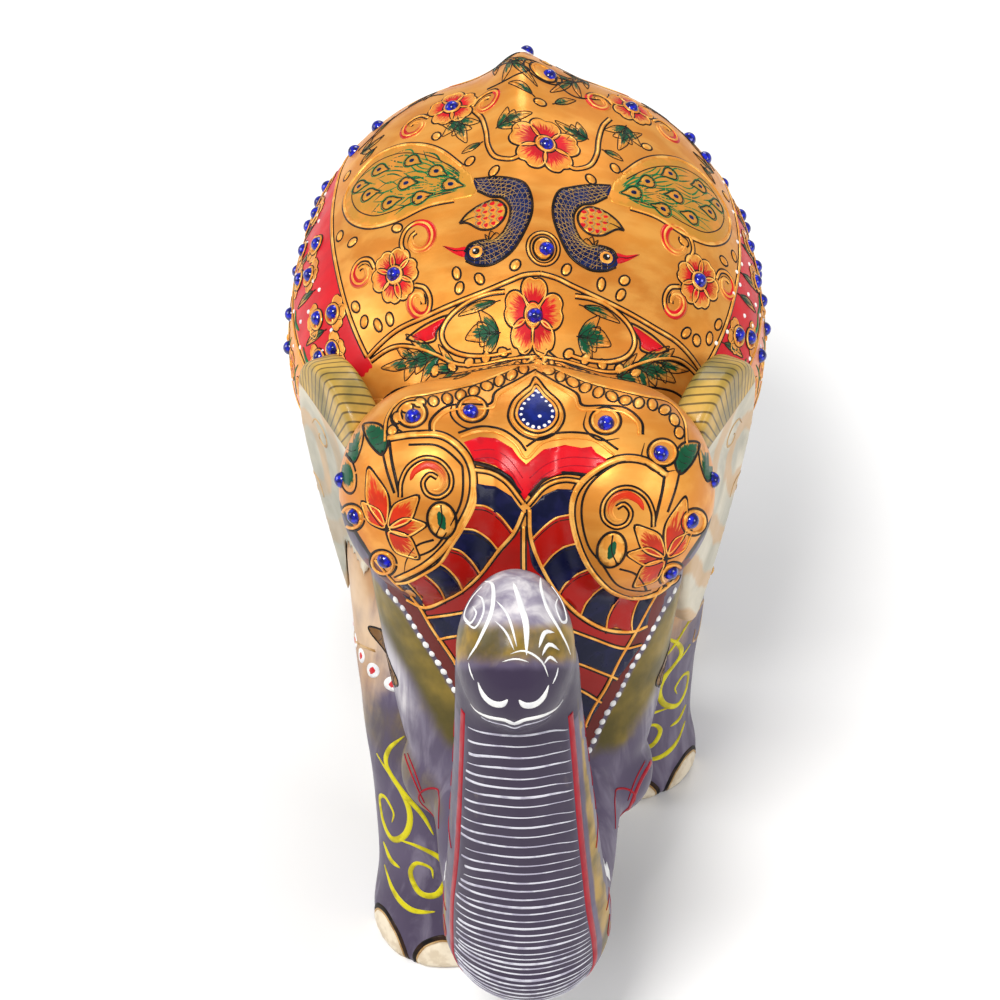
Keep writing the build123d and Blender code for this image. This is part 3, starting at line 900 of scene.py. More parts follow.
def dot(name, where, at, radius, height=0.3):
    """A small domed spot of thick paint."""
    centre, facing = where(*at)
    if np.isnan(centre).any():
        return
    side = np.cross(facing, (0.3, 0.2, 0.93))
    side /= np.linalg.norm(side)
    other = np.cross(facing, side)
    turns = np.linspace(0, 2 * math.pi, 12, endpoint=False)
    rim = np.cos(turns)[:, None] * side + np.sin(turns)[:, None] * other
    rings = [centre + rim * radius * r + facing * h for r,
             h in ((1, -0.25), (1, 0.05), (0.72, height * 0.8))]
    points = np.vstack(rings + [centre + facing * height])
    faces = [(12 * j + k, 12 * j + (k + 1) % 12, 12 * j + 12 + (k + 1) % 12, 12 * j + 12 + k)
             for j in (0, 1) for k in range(12)]
    faces += [(24 + k, 24 + (k + 1) % 12, 36) for k in range(12)]
    heap(name, points, faces, np.full(len(points), 0.4), np.zeros(len(points)), np.ones(len(points)))


def outlined(where, points, width=1.1, closed=False, height=0.34, taper="none", margin=0.4):
    """A moulded gold line with ink drawn along both its edges."""
    stroke("ink", where, points, width + margin, 0.07, taper, closed)
    stroke("raised_gold", where, points, width, height, taper, closed)


def oval(at, ax, ay, turn=0.0, count=12):
    turns = np.linspace(0, 2 * math.pi, count, endpoint=False)
    c, s = math.cos(turn), math.sin(turn)
    return [(at[0] + ax * math.cos(t) * c - ay * math.sin(t) * s,
             at[1] + ax * math.cos(t) * s + ay * math.sin(t) * c) for t in turns]


def around(centre, radius, turns, flat=1.0):
    return [(centre[0] + radius * math.cos(a), centre[1] + flat * radius * math.sin(a)) for a in turns]


def laid(base, tip, shape, width):
    """A unit shape laid from base to tip."""
    base, tip = np.array(base, float), np.array(tip, float)
    way = tip - base
    side = np.array((-way[1], way[0])) / (np.linalg.norm(way) + 1e-9)
    return [tuple(base + way * a + side * width * b) for a, b in shape]


ROUND_PETAL = [(0.12, 0), (0.30, 0.34), (0.62, 0.5), (0.88, 0.42), (1.0, 0.2), (0.95, 0), (1.0, -0.2),
               (0.88, -0.42), (0.62, -0.5), (0.30, -0.34)]
POINTED_PETAL = [(0, 0), (0.22, 0.34), (0.5, 0.5), (0.8, 0.26), (1, 0), (0.8, -0.26), (0.5, -0.5),
                 (0.22, -0.34)]
DROP = [(0, 0), (0.25, 0.16), (0.55, 0.40), (0.82, 0.42), (1.0, 0.18), (1.0, -0.18), (0.82, -0.42),
        (0.55, -0.40), (0.25, -0.16)]
BLADE = [(0, 0.02), (0.3, 0.42), (0.62, 0.44), (0.86, 0.2), (1.05, -0.12), (0.82, -0.26), (0.5, -0.34),
         (0.22, -0.24)]


def petal(where, base, tip, width, shape=ROUND_PETAL, fill="petals", line=0.42):
    outline = laid(base, tip, shape, width)
    reach = math.dist(base, tip)
    patch(fill, where, outline, 0.10, base, reach)
    stroke("raised_gold", where, laid(base, tip, [(0.08 + 0.88 * a, 0.90 * b) for a, b in shape], width),
           0.5, 0.24, closed=True)
    stroke("ink", where, outline, line, 0.15, closed=True)


def flower(where, centre, tips, width, gem=2.75):
    for tip in tips:
        petal(where, centre, tip, width)
    gem_ring(where, centre, gem)


def hem_flower(where, centre, reach, width, first, heart):
    """Five brushed petals round a gold dot."""
    for tip in around(centre, reach, [j * FIFTH_OF_A_TURN + first for j in range(5)]):
        petal(where, centre, tip, width, ROUND_PETAL, "petals", 0.2)
    dot("raised_gold", where, centre, heart, 0.7)


def gem_ring(where, centre, radius):
    patch("raised_gold", where, oval(centre, radius, radius), 0.16)
    stroke("ink", where, oval(centre, radius + 0.2, radius + 0.2), 0.45, 0.2, closed=True)
    stroke("raised_gold", where, oval(centre, radius - 0.45, radius - 0.45), 0.7, 0.5, closed=True)


def leaf(where, base, tip, width, lobes=2, spread=42):
    """A lobed leaf brushed in dark green over the gold, each lobe with its own ink edge."""
    base, tip = np.array(base, float), np.array(tip, float)
    way = tip - base
    blades = [(0.12, 0, 1.0)]
    for k in range(lobes):
        for side in (-1, 1):
            blades.append((0.06 + 0.26 * k, side * (spread - 9 * k), 0.66 - 0.12 * k))
    for start, turn, size in blades:
        a = math.radians(turn)
        direction = np.array((way[0] * math.cos(a) - way[1] * math.sin(a),
                              way[0] * math.sin(a) + way[1] * math.cos(a)))
        root = base + way * start
        end = root + direction * size * (1 - start)
        outline = laid(root, end, [(p, q if turn <= 0 else -q) for p, q in BLADE],
                       width * (0.5 + 0.25 * size))
        patch("leaves", where, outline, 0.10, tuple(root), math.dist(root, end))
        stroke("ink", where, outline, 0.2, 0.15, closed=True)
    stroke("ink", where, [tuple(base), tuple(base + 0.55 * way), tuple(base + 0.95 * way)], 0.25, 0.2,
           "end")


def seed(where, at, ax=1.6, ay=1.15, turn=0.3):
    """A small moulded bead of gold with an ink edge."""
    patch("raised_gold", where, oval(at, ax, ay, turn), 0.38, pitch=0.7)
    stroke("ink", where, oval(at, ax + 0.15, ay + 0.15, turn), 0.42, 0.12, closed=True)


def curl(where, points, width=3.2, colour_from=0.42):
    """A curling tendril with a brushed red heart at its inner end."""
    inner = smooth_line(points, 0.9)
    part = inner[int(len(inner) * colour_from):]
    stroke("petals", where, part[::4].tolist() + [part[-1].tolist()], width, 0.12, "drop")
    outlined(where, points, 0.8, height=0.28, margin=0.45)


def volute(where, centre, radius, start, sense):
    """A curl that winds in on its centre, one and a third times round."""
    turns = [start + sense * 8.4 * k / 11 for k in range(12)]
    curl(where, [around(centre, radius * (1 - 0.058 * k), (turn,))[0] for k, turn in enumerate(turns)], 3.2,
         0.3)


def spaced(points, first, spacing):
    """Places at even distances along a smooth path."""
    line = smooth_line(points, 0.4)
    walked = np.concatenate([[0], np.cumsum(np.linalg.norm(np.diff(line, axis=0), axis=1))])
    for d in np.arange(first, walked[-1], spacing):
        yield np.interp(d, walked, line[:, 0]), np.interp(d, walked, line[:, 1])


def chain(where, points, spacing, radius):
    """Evenly spaced moulded beads along a path."""
    for at in spaced(points, 0, spacing):
        seed(where, at, radius * (0.9 + 0.25 * DICE.random()), radius * 0.8, DICE.random() * 3)


def dotted(name, where, points, spacing, radius, height=0.35):
    for at in spaced(points, spacing / 2, spacing):
        dot(name, where, at, radius * (0.88 + 0.24 * DICE.random()), height)


behind_trunk = (middle[:, 1] > -83.5) & ((middle[:, 1] > -79) | (middle[:, 2] < 95))
face_tree = BVHTree.FromPolygons(points.tolist(), quads[behind_trunk].tolist())


# ---------------------------------------------------------------- the back

FAN = [(19.8, 44.2), (23, 49.1), (29.1, 57.3), (35.1, 62.5), (42.3, 66.3), (50.1, 67.4), (55.5, 65.4),
       (59.6, 61.7), (61.1, 56.1), (59.1, 48.2), (55.1, 42.4), (49.9, 38.8), (42.5, 37.4), (33.6, 38.4),
       (25.6, 38.1), (19.7, 38.6)]
FAN_EYES = [(48.1, 59.6), (37.4, 56.6), (30, 49.1), (39.1, 48.6), (51.3, 51.6), (44.5, 44.3), (35.2, 41.8),
            (26, 43.4), (55, 57.8)]
NECK_OUTER = [(19.4, 43.6), (13.6, 42.2), (8.1, 40.1), (4.6, 38.2), (3, 33.2), (4.1, 27.6), (8.6, 20.4),
              (14.9, 17.4), (20.3, 17.8), (23.8, 19.6)]
NECK_INNER = [(18.6, 39.4), (14.8, 36.4), (11.5, 35.2), (9.4, 32.4), (9.5, 28.9), (11.6, 25.4),
              (14.8, 23.6), (18, 24.4), (22, 24), (24, 22)]
WING = [(24.6, 30.6), (22, 33), (17.9, 34.8), (13.4, 35), (10.6, 32.3), (11.2, 29.2), (14.3, 27.1),
        (18.3, 27.5), (22.2, 30.2)]


def part_way(line, fraction):
    return line[int(fraction * (len(line) - 1))]


def peacock(where):
    """A bird with a scaled neck, a spotted wing and a leaf-shaped fan of eyes."""
    core = np.array((20.0, 41.0))
    patch("fan_gold", where, FAN, 0.10, tuple(core), 45)
    for k in range(23):
        turn = math.radians(-16 + 76 * k / 22)
        for lane in range(4):
            near, far = 4.5 + 9.2 * lane, 13 + 9.4 * lane + DICE.uniform(-1.5, 1.5)
            wave = DICE.uniform(-0.05, 0.05)
            spots = [core + np.array((math.cos(turn + wave * w), math.sin(turn + wave * w))) * r
                     for r, w in ((near, -1), ((near + far) / 2, 1), (far, -1))]
            inside = all(line_distance(spot[None], FAN + FAN[:1])[0] < -1.6 for spot in spots)
            if inside:
                stroke("fan_green", where, [tuple(q) for q in spots], DICE.uniform(0.8, 1.3), 0.14, "both")
    for at in FAN_EYES:
        way = np.array(at) - core
        turn = math.atan2(way[1], way[0])
        ahead = way / np.linalg.norm(way)
        drop = laid(np.array(at) - 3.6 * ahead, np.array(at) + 2.5 * ahead, DROP, 4.6)
        patch("fan_gold", where, drop, 0.2, pitch=0.8)
        stroke("ink", where, drop, 0.3, 0.26, closed=True)
        stroke("fan_green", where, [(1.18 * a - 0.18 * at[0], 1.18 * b - 0.18 * at[1]) for a, b in drop],
               0.5, 0.2, closed=True)
        patch("peacock_blue", where, oval((at[0] + 0.4 * math.cos(turn), at[1] + 0.4 * math.sin(turn)), 1.5,
                                          1.2, turn), 0.34, pitch=0.7)
    outlined(where, FAN[1:-1], 1.0)
    stroke("ink", where, [(24, 47.5), (30.5, 54.5), (36.6, 59.4), (43, 63), (50, 64.1), (54.6, 62.2),
                          (57.2, 59.4), (57.9, 55.4), (56.2, 49.6),
                          (53, 45), (48.8, 41.9), (42.2, 40.8), (33.4, 41.4), (26.4, 40.8)], 0.36, 0.2)
    patch("peacock_blue", where, NECK_OUTER + NECK_INNER[::-1], 0.26, (12, 30), 24)
    outer, inner = smooth_line(NECK_OUTER, 1.0), smooth_line(NECK_INNER, 1.0)
    for lane in (0.18, 0.36, 0.54, 0.72, 0.88):
        spots = [tuple(part_way(outer, f) * (1 - lane) + part_way(inner, f) * lane)
                 for f in np.linspace(0.02, 0.9, 12)]
        stroke("net", where, spots, 0.14, 0.38)
    for f in np.linspace(0.03, 0.9, 26):
        for slant in (-0.05, 0.05):
            a = part_way(outer, np.clip(f + slant, 0, 1))
            b = part_way(inner, np.clip(f - slant, 0, 1))
            stroke("net", where, [tuple(0.94 * a + 0.06 * b), tuple(0.5 * (a + b)),
                                  tuple(0.06 * a + 0.94 * b)], 0.12, 0.37)
    stroke("ink", where, NECK_OUTER, 0.55, 0.3)
    stroke("ink", where, NECK_INNER, 0.5, 0.3)
    patch("raised_gold", where, oval((20.3, 21.4), 2.7, 2.2), 0.42, pitch=0.8)
    stroke("ink", where, oval((20.3, 21.4), 2.9, 2.4), 0.35, 0.4, closed=True)
    dot("ink", where, (20.3, 21.5), 1.25, 0.75)
    dot("white", where, (20.7, 21.7), 0.45, 0.9)
    patch("scarlet", where, [(23.2, 23.4), (26.5, 23.7), (30.2, 25.0), (27.0, 22.1), (24.0, 20.8)], 0.24,
          (23, 22))
    stroke("ink", where, [(23.6, 22.4), (27, 23), (30.4, 25)], 0.3, 0.3, "end")
    for dx, dy in ((-1.2, 2.2), (0.4, 3.0), (2.2, 2.4)):
        stroke("ink", where, [(16.5, 23.5), (15 + dx, 23.4 + dy), (13.4 + dx, 22 + dy)], 0.3, 0.3, "end")
    patch("fan_gold", where, WING, 0.16, (11, 31), 16)
    for a, count in ((12.2, 3), (14.4, 4), (16.6, 4), (18.6, 3)):
        for k in range(count):
            b = 31.2 + (k - (count - 1) / 2) * 1.85
            patch("scarlet", where, oval((a, b), 1.25, 0.9), 0.30, pitch=0.7)
            stroke("net", where, [(a + 0.2, b - 1.0), (a + 1.3, b), (a + 0.2, b + 1.0)], 0.3, 0.42)
    stroke("ink", where, WING + WING[:1], 0.5, 0.26)
    stroke("ink", where, [(24.6, 30.6), (20.5, 31.4), (17, 31.2)], 0.35, 0.3, "end")


BACK_LEAVES = [
    ((24.5, 70.5), (22.2, 58.6), 5.4, 2), ((9.5, 86.0), (2.4, 74.5), 4.0, 1),
    ((12.9, 59.2), (3.4, 62.6), 5.0, 2), ((14.5, 90.5), (6.2, 83.4), 3.4, 1),
    ((57.2, 74.6), (48.6, 75.4), 3.4, 1), ((34, 92), (42.6, 88.2), 4.4, 2),
    ((2.4, 69.6), (8.8, 74.6), 4.0, 0), ((6.4, 90.2), (13.8, 86.4), 4.0, 0),
    ((22.6, 62.4), (28.8, 69.2), 4.0, 0), ((46.6, 84.6), (53.4, 79.2), 4.0, 0),
    ((16.6, 56.4), (22.8, 54.6), 4.0, 0), ((4.6, 95.8), (11.6, 97.6), 4.0, 0),
    ((50.4, 72.0), (56.2, 69.0), 4.0, 0),
]


def back_side(side):
    """One half of the gold back: the peacock, two stone flowers, volutes, beads, leaves and edge lines."""
    where = mirrored(on_back, side)
    peacock(where)
    u, s = back_place(stones_of("flower_stones"))
    mine = u * side > 0
    front, top = (tuple(zip(np.abs(u[k]), s[k]))[0] for k in (mine & (s < 50), mine & (s > 50)))
    volute(where, (front[0] - 9.6, front[1] + 7.6), 6.0, -0.8, 1)
    volute(where, (front[0] - 5.4, front[1] - 9.4), 4.6, 1.6, 1)
    volute(where, (front[0] + 10.2, front[1] + 5.4), 4.5, 3.3, -1)
    flower(where, front, around(front, 7.6, (0.1, 1.15, 2.15, 3.2, 4.3, 5.2)), 6.6)
    for at in ((62.6, 44), (58.3, 38.4), (43.4, 34.9), (62.2, 19.4), (57.2, 11.6), (61.2, 14.4),
               (52.6, 11.4), (27.3, 16.8), (20.1, 14.2), (27.1, 12.9), (8.2, 16.2), (13.6, 44.2),
               (20.6, 50.4), (30.6, 64.2), (61.6, 68.6)):
        seed(where, at, turn=DICE.random() * 3)
    volute(where, (top[0] - 10.4, top[1] - 3.0), 4.4, 0.2, 1)
    volute(where, (top[0] + 11.6, top[1] - 3.4), 4.8, 2.8, -1)
    flower(where, top, around(top, 7.4, (0.3, 1.55, 2.8, 4.1, 5.3)), 6.8, 2.7)
    for base, tip, width, lobes in BACK_LEAVES:
        leaf(where, base, tip, width, lobes)
    outlined(where, [(19.6, 71.2), (17.2, 66.6), (15.8, 60), (15.2, 54), (13.2, 49), (9.2, 46.6),
                     (6.6, 47.2)], 0.9)
    stroke("ink", where, [(15.6, 78.3), (8.8, 76.3), (3.9, 79.7), (7.9, 82.4), (14.3, 90.3), (22, 96.8)],
           0.45)
    stroke("ink", where, [(30, 85), (36, 87.6), (44, 85.2), (52, 80.8), (59, 78)], 0.42)
    curl(where, [(14, 99), (20, 94.4), (27, 92.6), (31, 96), (28.6, 99.2), (25, 97.8)], 2.2)
    outlined(where, [(0, 14.3), (5.4, 13.6), (11, 12.2), (20.1, 10.6), (31.9, 9.1), (41.7, 8.3),
                     (51.9, 8.1), (65.2, 6.6)], 0.9)
    outlined(where, [(65.6, 6.8), (65.2, 17.9), (65.0, 31.5), (65.6, 48), (66.2, 68), (66, 84), (64.8, 90),
                     (60, 92.4), (46, 95.4), (24, 98.8), (0, 100)], 0.9)
    outlined(where, [(11.9, 9.9), (18, 10.0), (24.9, 9.0), (32.7, 6.3), (36.6, 3.0), (35.2, -0.6),
                     (28.5, -3.4), (19, -4.6), (10.8, -4.0)], 0.9)
    leaf(where, (14.4, 0.6), (27.6, 1.2), 7.4, 2, 36)
    leaf(where, (13.6, 8.0), (28.5, 6.6), 3.8, 0)
    patch("scarlet", where, [(48.4, 5.0), (40.8, 5.9), (34.1, 6.5), (38.3, 4.3), (39.9, 2.9), (44.6, 3.2)],
          0.14, (48, 5))
    stroke("ink", where, [(49.7, 5.3), (40.8, 6.6), (32.1, 6.9), (37.9, 4.2), (39.7, 2.3), (44.9, 2.9),
                          (49.7, 5.3)], 0.42)
    leaf(where, (38.8, -1.6), (57.2, 0.9), 5.6, 2, 30)
    outlined(where, [(65.1, 5.4), (55.1, 5.0), (47.2, 2.4), (40.2, -1.2), (33.2, -4.9), (23.7, -6.9),
                     (12.0, -6.4), (0.7, -5.6)], 0.8)


def band_motifs(side):
    """The red flank band's flowers round its stones, leaves and white dots; then the hem's flowers."""
    where = mirrored(on_flank, side)
    stones = stones_of("band_stones")
    stones = stones[stones[:, 0] * side > 0]
    t = np.abs(np.radians(back_angle(stones)) * BACK_RADIUS)
    s = back_place(stones)[1]
    for at in zip(t, s):
        others = [q for q in zip(t, s) if 0 < math.dist(at, q) < 9]
        away = math.atan2(at[1] - others[0][1], at[0] - others[0][0]) if others else 0.0
        for turn in (-1.0, 0.0, 1.0):
            tip = around(at, 5.2, (away + turn,))[0]
            petal(where, at, tip, 4.2, ROUND_PETAL, "hem_petals", 0.25)
        stroke("raised_gold", where, oval(at, 2.5, 2.5), 0.8, 0.5, closed=True)
        stroke("ink", where, oval(at, 3.0, 3.0), 0.2, 0.3, closed=True)
    for along in ((8, 20.6, 34.5, 49.6, 62, 74.4, 87) if side < 0 else (4, 16.4, 33.0, 41.0, 53, 66, 80)):
        leaf(where, (70.0, along), (80.5, along + 3.6), 4.0, 0)
        stroke("fan_green", where, [(82.6, along - 3.4), (84.0, along + 0.6), (82.8, along + 4.6)], 1.5,
               0.2, "both")
        for across, ahead_by in ((70.4, 3.6), (75.2, -3.4), (84.6, 6.2), (68.4, -1.5), (80.4, -2.2)):
            dot("white", where, (across, along + ahead_by), 0.62, 0.35)
    outlined(where, [(86, -2), (86.2, 12), (86, 30), (86, 48), (86, 66), (86, 84), (85.2, 93.5),
                     (81.6, 97.4), (66, 102.4), (44, 107.8), (22, 111), (0, 112)], 1.0)
    outlined(where, [(104, 4), (104, 30), (104, 56), (104, 80), (103.6, 97), (100, 102), (84, 109.6),
                     (60, 117.2), (30, 123), (0, 125)], 1.1)
    for k in range(9):
        centre = (95.0, 10 + 10.6 * k)
        hem_flower(where, centre, 4.3, 3.8, 0.4 * k, 1.1)
        stroke("fan_green", where, [(100.5, centre[1] + 4.6), (95, centre[1] + 6.4),
                                    (89.6, centre[1] + 4.6)], 1.0, 0.16, "both")
        dot("white", where, (101, centre[1] + 0.6), 0.5)
        dot("white", where, (89, centre[1] + 0.6), 0.5)


def rump_motifs():
    """The bands' flowers, leaves and dots carried on over the rump."""
    flower(on_back, (0, 106.4), around((0, 106.4), 6.0, (0.2, 1.5, 2.8, 4.0, 5.3)), 5.0, 1.6)
    dot("scarlet", on_back, (0, 106.4), 1.5, 0.8)
    for side in (-1, 1):
        where = mirrored(on_back, side)
        for u, s in ((18, 105.6), (36, 103.6), (54, 98.6)):
            leaf(where, (u - 6, s + 1), (u + 5, s - 1), 4.2, 1)
            for du in (-8, 0, 8):
                dot("white", where, (u + du, s + (3.8 if du else -4.2)), 0.55)
        for u, s in ((9, 118.6), (27, 117.0), (45, 113.4), (62, 107.6), (76, 99.6)):
            hem_flower(where, (u, s), 4.0, 3.6, u, 1.0)


for side in (-1, 1):
    back_side(side)
    band_motifs(side)
rump_motifs()
outlined(on_back, oval((0.5, 21), 4.7, 4.3), 0.6, True)
gem_ring(on_back, (0.5, 21), 2.9)
flower(on_back, (0.5, 53), [(0.4, 61.8), (-8.8, 55.8), (-5.2, 45.4), (6.0, 45.2), (9.8, 55.6)], 8.6, 2.9)
gem_ring(on_back, (0, 82), 3.6)
stroke("ink", on_back, oval((0, 82), 5.4, 4.4), 0.42, closed=True)
seed(on_back, (-1, 68.4))
seed(on_back, (1, 90.6))
brow_stone = (-2.4, 4.2)
flower(on_back, brow_stone, [(-1.9, 13.2), (-12.2, 6.4), (-8.4, -3.9), (4.0, -4.4), (8.2, 6.0)], 8.8, 3.0)


# ---------------------------------------------------------------- the nape and the face

def nape_side(where):
    """Beads, lines and leaves where the cloth meets the head."""
    chain(where, [(2.6, -6.4), (9, -9.2), (16, -11.6), (23, -12.2), (30, -11)], 3.1, 1.25)
    stroke("ink", where, [(0.4, -7.4), (9, -11.2), (17, -14), (26, -14.4), (34, -12)], 0.42)
    stroke("ink", where, [(3, -3.4), (14, -8.2), (24, -9.6), (34, -8.0), (42, -5)], 0.42)
    leaf(where, (33, -6.4), (46.5, -3.6), 4.6, 1)
    leaf(where, (24, -16.6), (33, -18.4), 3.6, 1)


PANEL_RIGHT = [(-32.9, 92.4), (-26.8, 93.2), (-19.9, 92.9), (-14.9, 89.1), (-12.7, 84.1), (-13, 77.9),
               (-15.5, 72.2), (-19.4, 66.5), (-24.6, 62), (-31.3, 58.6)]
PANEL_LEFT = [(33.0, 83.6), (27.6, 87.0), (21.4, 87.3), (15.2, 84.1), (11.4, 79.7), (10.5, 74.1),
              (12.1, 67.1), (15.4, 60.7), (20.8, 55.3), (26.9, 53.7), (32.4, 54.8), (36.4, 57.5)]
ARC_CUTS_RIGHT = [[(-12.4, 81.8), (-7.4, 81.0), (-3.6, 78.6), (-0.9, 75.0)],
                  [(-12.4, 76.6), (-9.6, 76.2), (-6.4, 74.0), (-3.2, 70.0)],
                  [(-15.2, 71), (-12.2, 70.6), (-9.0, 68.4), (-6.8, 65.8)],
                  [(-18.1, 66.5), (-15.6, 65.6), (-13.2, 63.2), (-11.2, 60)],
                  [(-20.7, 62.7), (-18.8, 61.4), (-16.8, 59), (-15.5, 56)],
                  [(-24.6, 60.1), (-22.8, 58.6), (-21.0, 56.4), (-19.9, 53.5)],
                  [(-28.7, 58), (-27.2, 56.2), (-25.8, 54), (-25, 51.4)],
                  [(-31.8, 57.6), (-31.4, 56.2), (-30.6, 54.6), (-29.6, 53.2)]]
ARC_CUTS_LEFT = [[(11.6, 80.2), (7.2, 80.4), (3.6, 78.8), (0.6, 75.6)],
                 [(10.6, 74.4), (7.0, 73.6), (4.2, 71.6), (1.0, 68.4)],
                 [(12.2, 67.6), (8.8, 66.6), (6.0, 64.6), (3.6, 61.6)],
                 [(15.0, 61.4), (12.0, 60.0), (9.2, 57.6), (7.6, 55.0)],
                 [(18.6, 57.2), (16.2, 55.2), (14.2, 52.6), (13.0, 49.6)],
                 [(22.8, 54.7), (21.0, 52.0), (19.8, 49.2), (19.4, 46.0)],
                 [(27.6, 53.8), (26.4, 51.0), (25.8, 48.0), (26.0, 45.2)],
                 [(31.6, 54.4), (30.8, 51.4), (30.2, 49.0), (29.8, 46.4)]]


def banded_arcs(cuts):
    """Navy and red bands by turns between neighbouring cuts, edged in gold."""
    for k, (a, b) in enumerate(zip(cuts[:-1], cuts[1:])):
        patch("navy" if k % 2 == 0 else "brick_red", on_face, a + b[::-1], 0.08, rounded=False)
    for cut in cuts[1:-1]:
        outlined(on_face, cut, 0.55, height=0.24)
        stroke("ink", on_face, [(p[0], p[1] - 1.0) for p in cut], 0.3, 0.14)
    outlined(on_face, [cut[0] for cut in cuts], 0.9, height=0.3)
    outlined(on_face, [cut[-1] for cut in cuts], 0.95, height=0.3)


def chevrons():
    """Wide navy and red bands that fill the V below the arcs, with gold between them."""
    left = [[(8, 47), (16, 43.8), (23.4, 41.0), (28.6, 41.6)], [(5, 39.5), (12, 37.7), (20.6, 34.0),
            (22.6, 33.0)], [(3, 33.5), (12, 31.0), (18.6, 27.0)],
            [(2, 27), (10, 24.6), (15, 20.8)], [(2, 19.6), (7, 17.4), (10.4, 13.4)],
            [(1.6, 12.0), (4.6, 9.8), (7, 6.4)]]
    right = [[(-7, 53), (-13, 51), (-19.5, 49.6), (-24.8, 48.8)], [(-5, 46.4), (-13, 45.2), (-18.5, 44.2),
            (-22.0, 43.4)], [(-4, 39.6), (-12, 38.6), (-18, 37.2)],
             [(-3, 32), (-9, 31), (-13.6, 29.4)], [(-2, 24), (-6, 22.6), (-9.4, 20.6)],
             [(-1, 15), (-4, 13.4), (-6, 11.2)]]
    for cuts in (left, right):
        for k in (0, 2, 4):
            patch("navy", on_face, cuts[k] + cuts[k + 1][::-1], 0.06, rounded=False)
        for cut in cuts:
            outlined(on_face, cut, 0.7, height=0.24)
    patch("navy", on_face, [(0.4, 71), (2.4, 66), (5.4, 60.4), (7, 56.6), (3.4, 59.6), (1.0, 63)], 0.06)
    outlined(on_face, [(-0.8, 71.6), (-0.8, 62), (-0.4, 52), (0, 40)], 0.8, height=0.26)


def lily(where):
    """A pointed flower with a swirl above it and a leafed bead beside it."""
    heart = (-33.2, 70.8)
    stroke("ink", where, [(-32.6, 92.4), (-31.9, 87.3), (-30.9, 82.9), (-29.9, 78.5)], 0.6, 0.2)
    stroke("petals_strong", where, [(-27.4, 82.4), (-26.2, 84.6), (-23.4, 86.0), (-20.6, 85.0),
                                    (-19.4, 82.4), (-20.6, 80.2), (-22.4, 80.2)], 2.5, 0.14, "drop")
    swirl = [(-29.8, 78.4), (-29.6, 82.0), (-27.8, 85.6), (-24.4, 87.6), (-20.6, 87.0), (-18.0, 84.0),
             (-18.0, 80.4), (-20.6, 78.4), (-23.4, 79.2), (-24.4, 81.8), (-22.8, 83.8), (-21.0, 83.0)]
    outlined(where, swirl, 0.55, height=0.24, margin=0.55)
    for tip, width in (((-37.6, 85.6), 5.6), ((-25.4, 78.8), 5.4), ((-23.6, 72.0), 4.6),
                       ((-25.6, 63.8), 5.2), ((-39.4, 77.4), 4.0)):
        petal(where, heart, tip, width, POINTED_PETAL, "petals_strong", 0.5)
    patch("raised_gold", where, oval((-20.0, 73.0), 3.1, 4.0, 0.2), 0.16)
    patch("leaves_strong", where, oval((-20.1, 73.0), 1.7, 3.2, 0.3), 0.24, (-20.2, 76), 7)
    stroke("ink", where, oval((-20.0, 73.0), 3.4, 4.3, 0.2), 0.45, 0.26, closed=True)
    stroke("ink", where, [(-20.2, 76.6), (-20.0, 73), (-21.4, 69.6)], 0.35, 0.3)
    stroke("ink", where, [(-22, 68.4), (-26, 67), (-28.6, 63.6), (-29.4, 60.4)], 0.45, 0.16, "end")


def heart_leaf(where):
    """Two leaf lobes from one stalk: one dark green, one that fades to gold."""
    stalk, width = (-39.4, 96.0), 7.6
    for tip, bend in (((-34.4, 88.6), 1), ((-41.2, 87.0), -1)):
        lobe = [(0, 0), (0.25, 0.42), (0.6, 0.5), (0.9, 0.3), (1.02, 0), (0.7, -0.12), (0.35, -0.12)]
        outline = laid(stalk, tip, [(a, b * bend) for a, b in lobe], width)
        patch("leaves_strong" if bend > 0 else "leaves", where, outline, 0.12, tip, 9)
        stroke("ink", where, outline, 0.5, 0.18, closed=True)
        for start in (0.3, 0.5, 0.7):
            vein = [(start, 0.02 * bend), (start + 0.06, 0.18 * bend), (start + 0.02, 0.38 * bend)]
            stroke("ink", where, laid(stalk, tip, vein, width), 0.28, 0.16, "end")
    stroke("ink", where, [(-34.2, 89.4), (-33.0, 84.6), (-31.2, 79.4)], 0.5, 0.16)


def brow_side(where):
    """One half of the brow: its scalloped edge and rows of beads."""
    stroke("ink", where, [(2.1, 109.6), (-2.4, 106.8), (-7.5, 103.8), (-8.8, 100.8), (-13.8, 100.6),
                          (-19, 100.0), (-22.6, 96.8), (-22.9, 93.6)], 0.5, 0.2)
    stroke("raised_gold", where, [(2.1, 108.8), (-2.2, 105.8), (-6.7, 102.8), (-8.2, 99.8), (-13.6, 99.4),
                                  (-18.4, 98.8), (-21.6, 96.2), (-21.9, 93.6)], 0.6, 0.34)
    outlined(where, [(2.2, 113.2), (-3.7, 109.6), (-12.7, 105.8), (-22.7, 103.2), (-29.7, 101.8),
                     (-33.2, 97.4), (-33.6, 91.6)], 0.7)
    chain(where, [(2.0, 111.4), (-4.0, 108.0), (-12.1, 104.2), (-20.2, 101.6), (-27, 100.6), (-31.0, 97.0),
                  (-32.0, 93.4)], 3.3, 1.35)
    stroke("ink", where, [(2.3, 115.4), (-5, 112.4), (-14, 109.0), (-24, 107.0), (-33, 105.6), (-39, 101)],
           0.42)
    chain(where, [(-6, 114.6), (-16, 111.6), (-25, 109.8)], 4.4, 1.3)
    leaf(where, (-27, 113.5), (-36.5, 111.0), 4.6, 1)
    stroke("petals_strong", where, [(-44.6, 97.6), (-41.0, 101.4), (-36.6, 103.4)], 2.6, 0.14, "both")


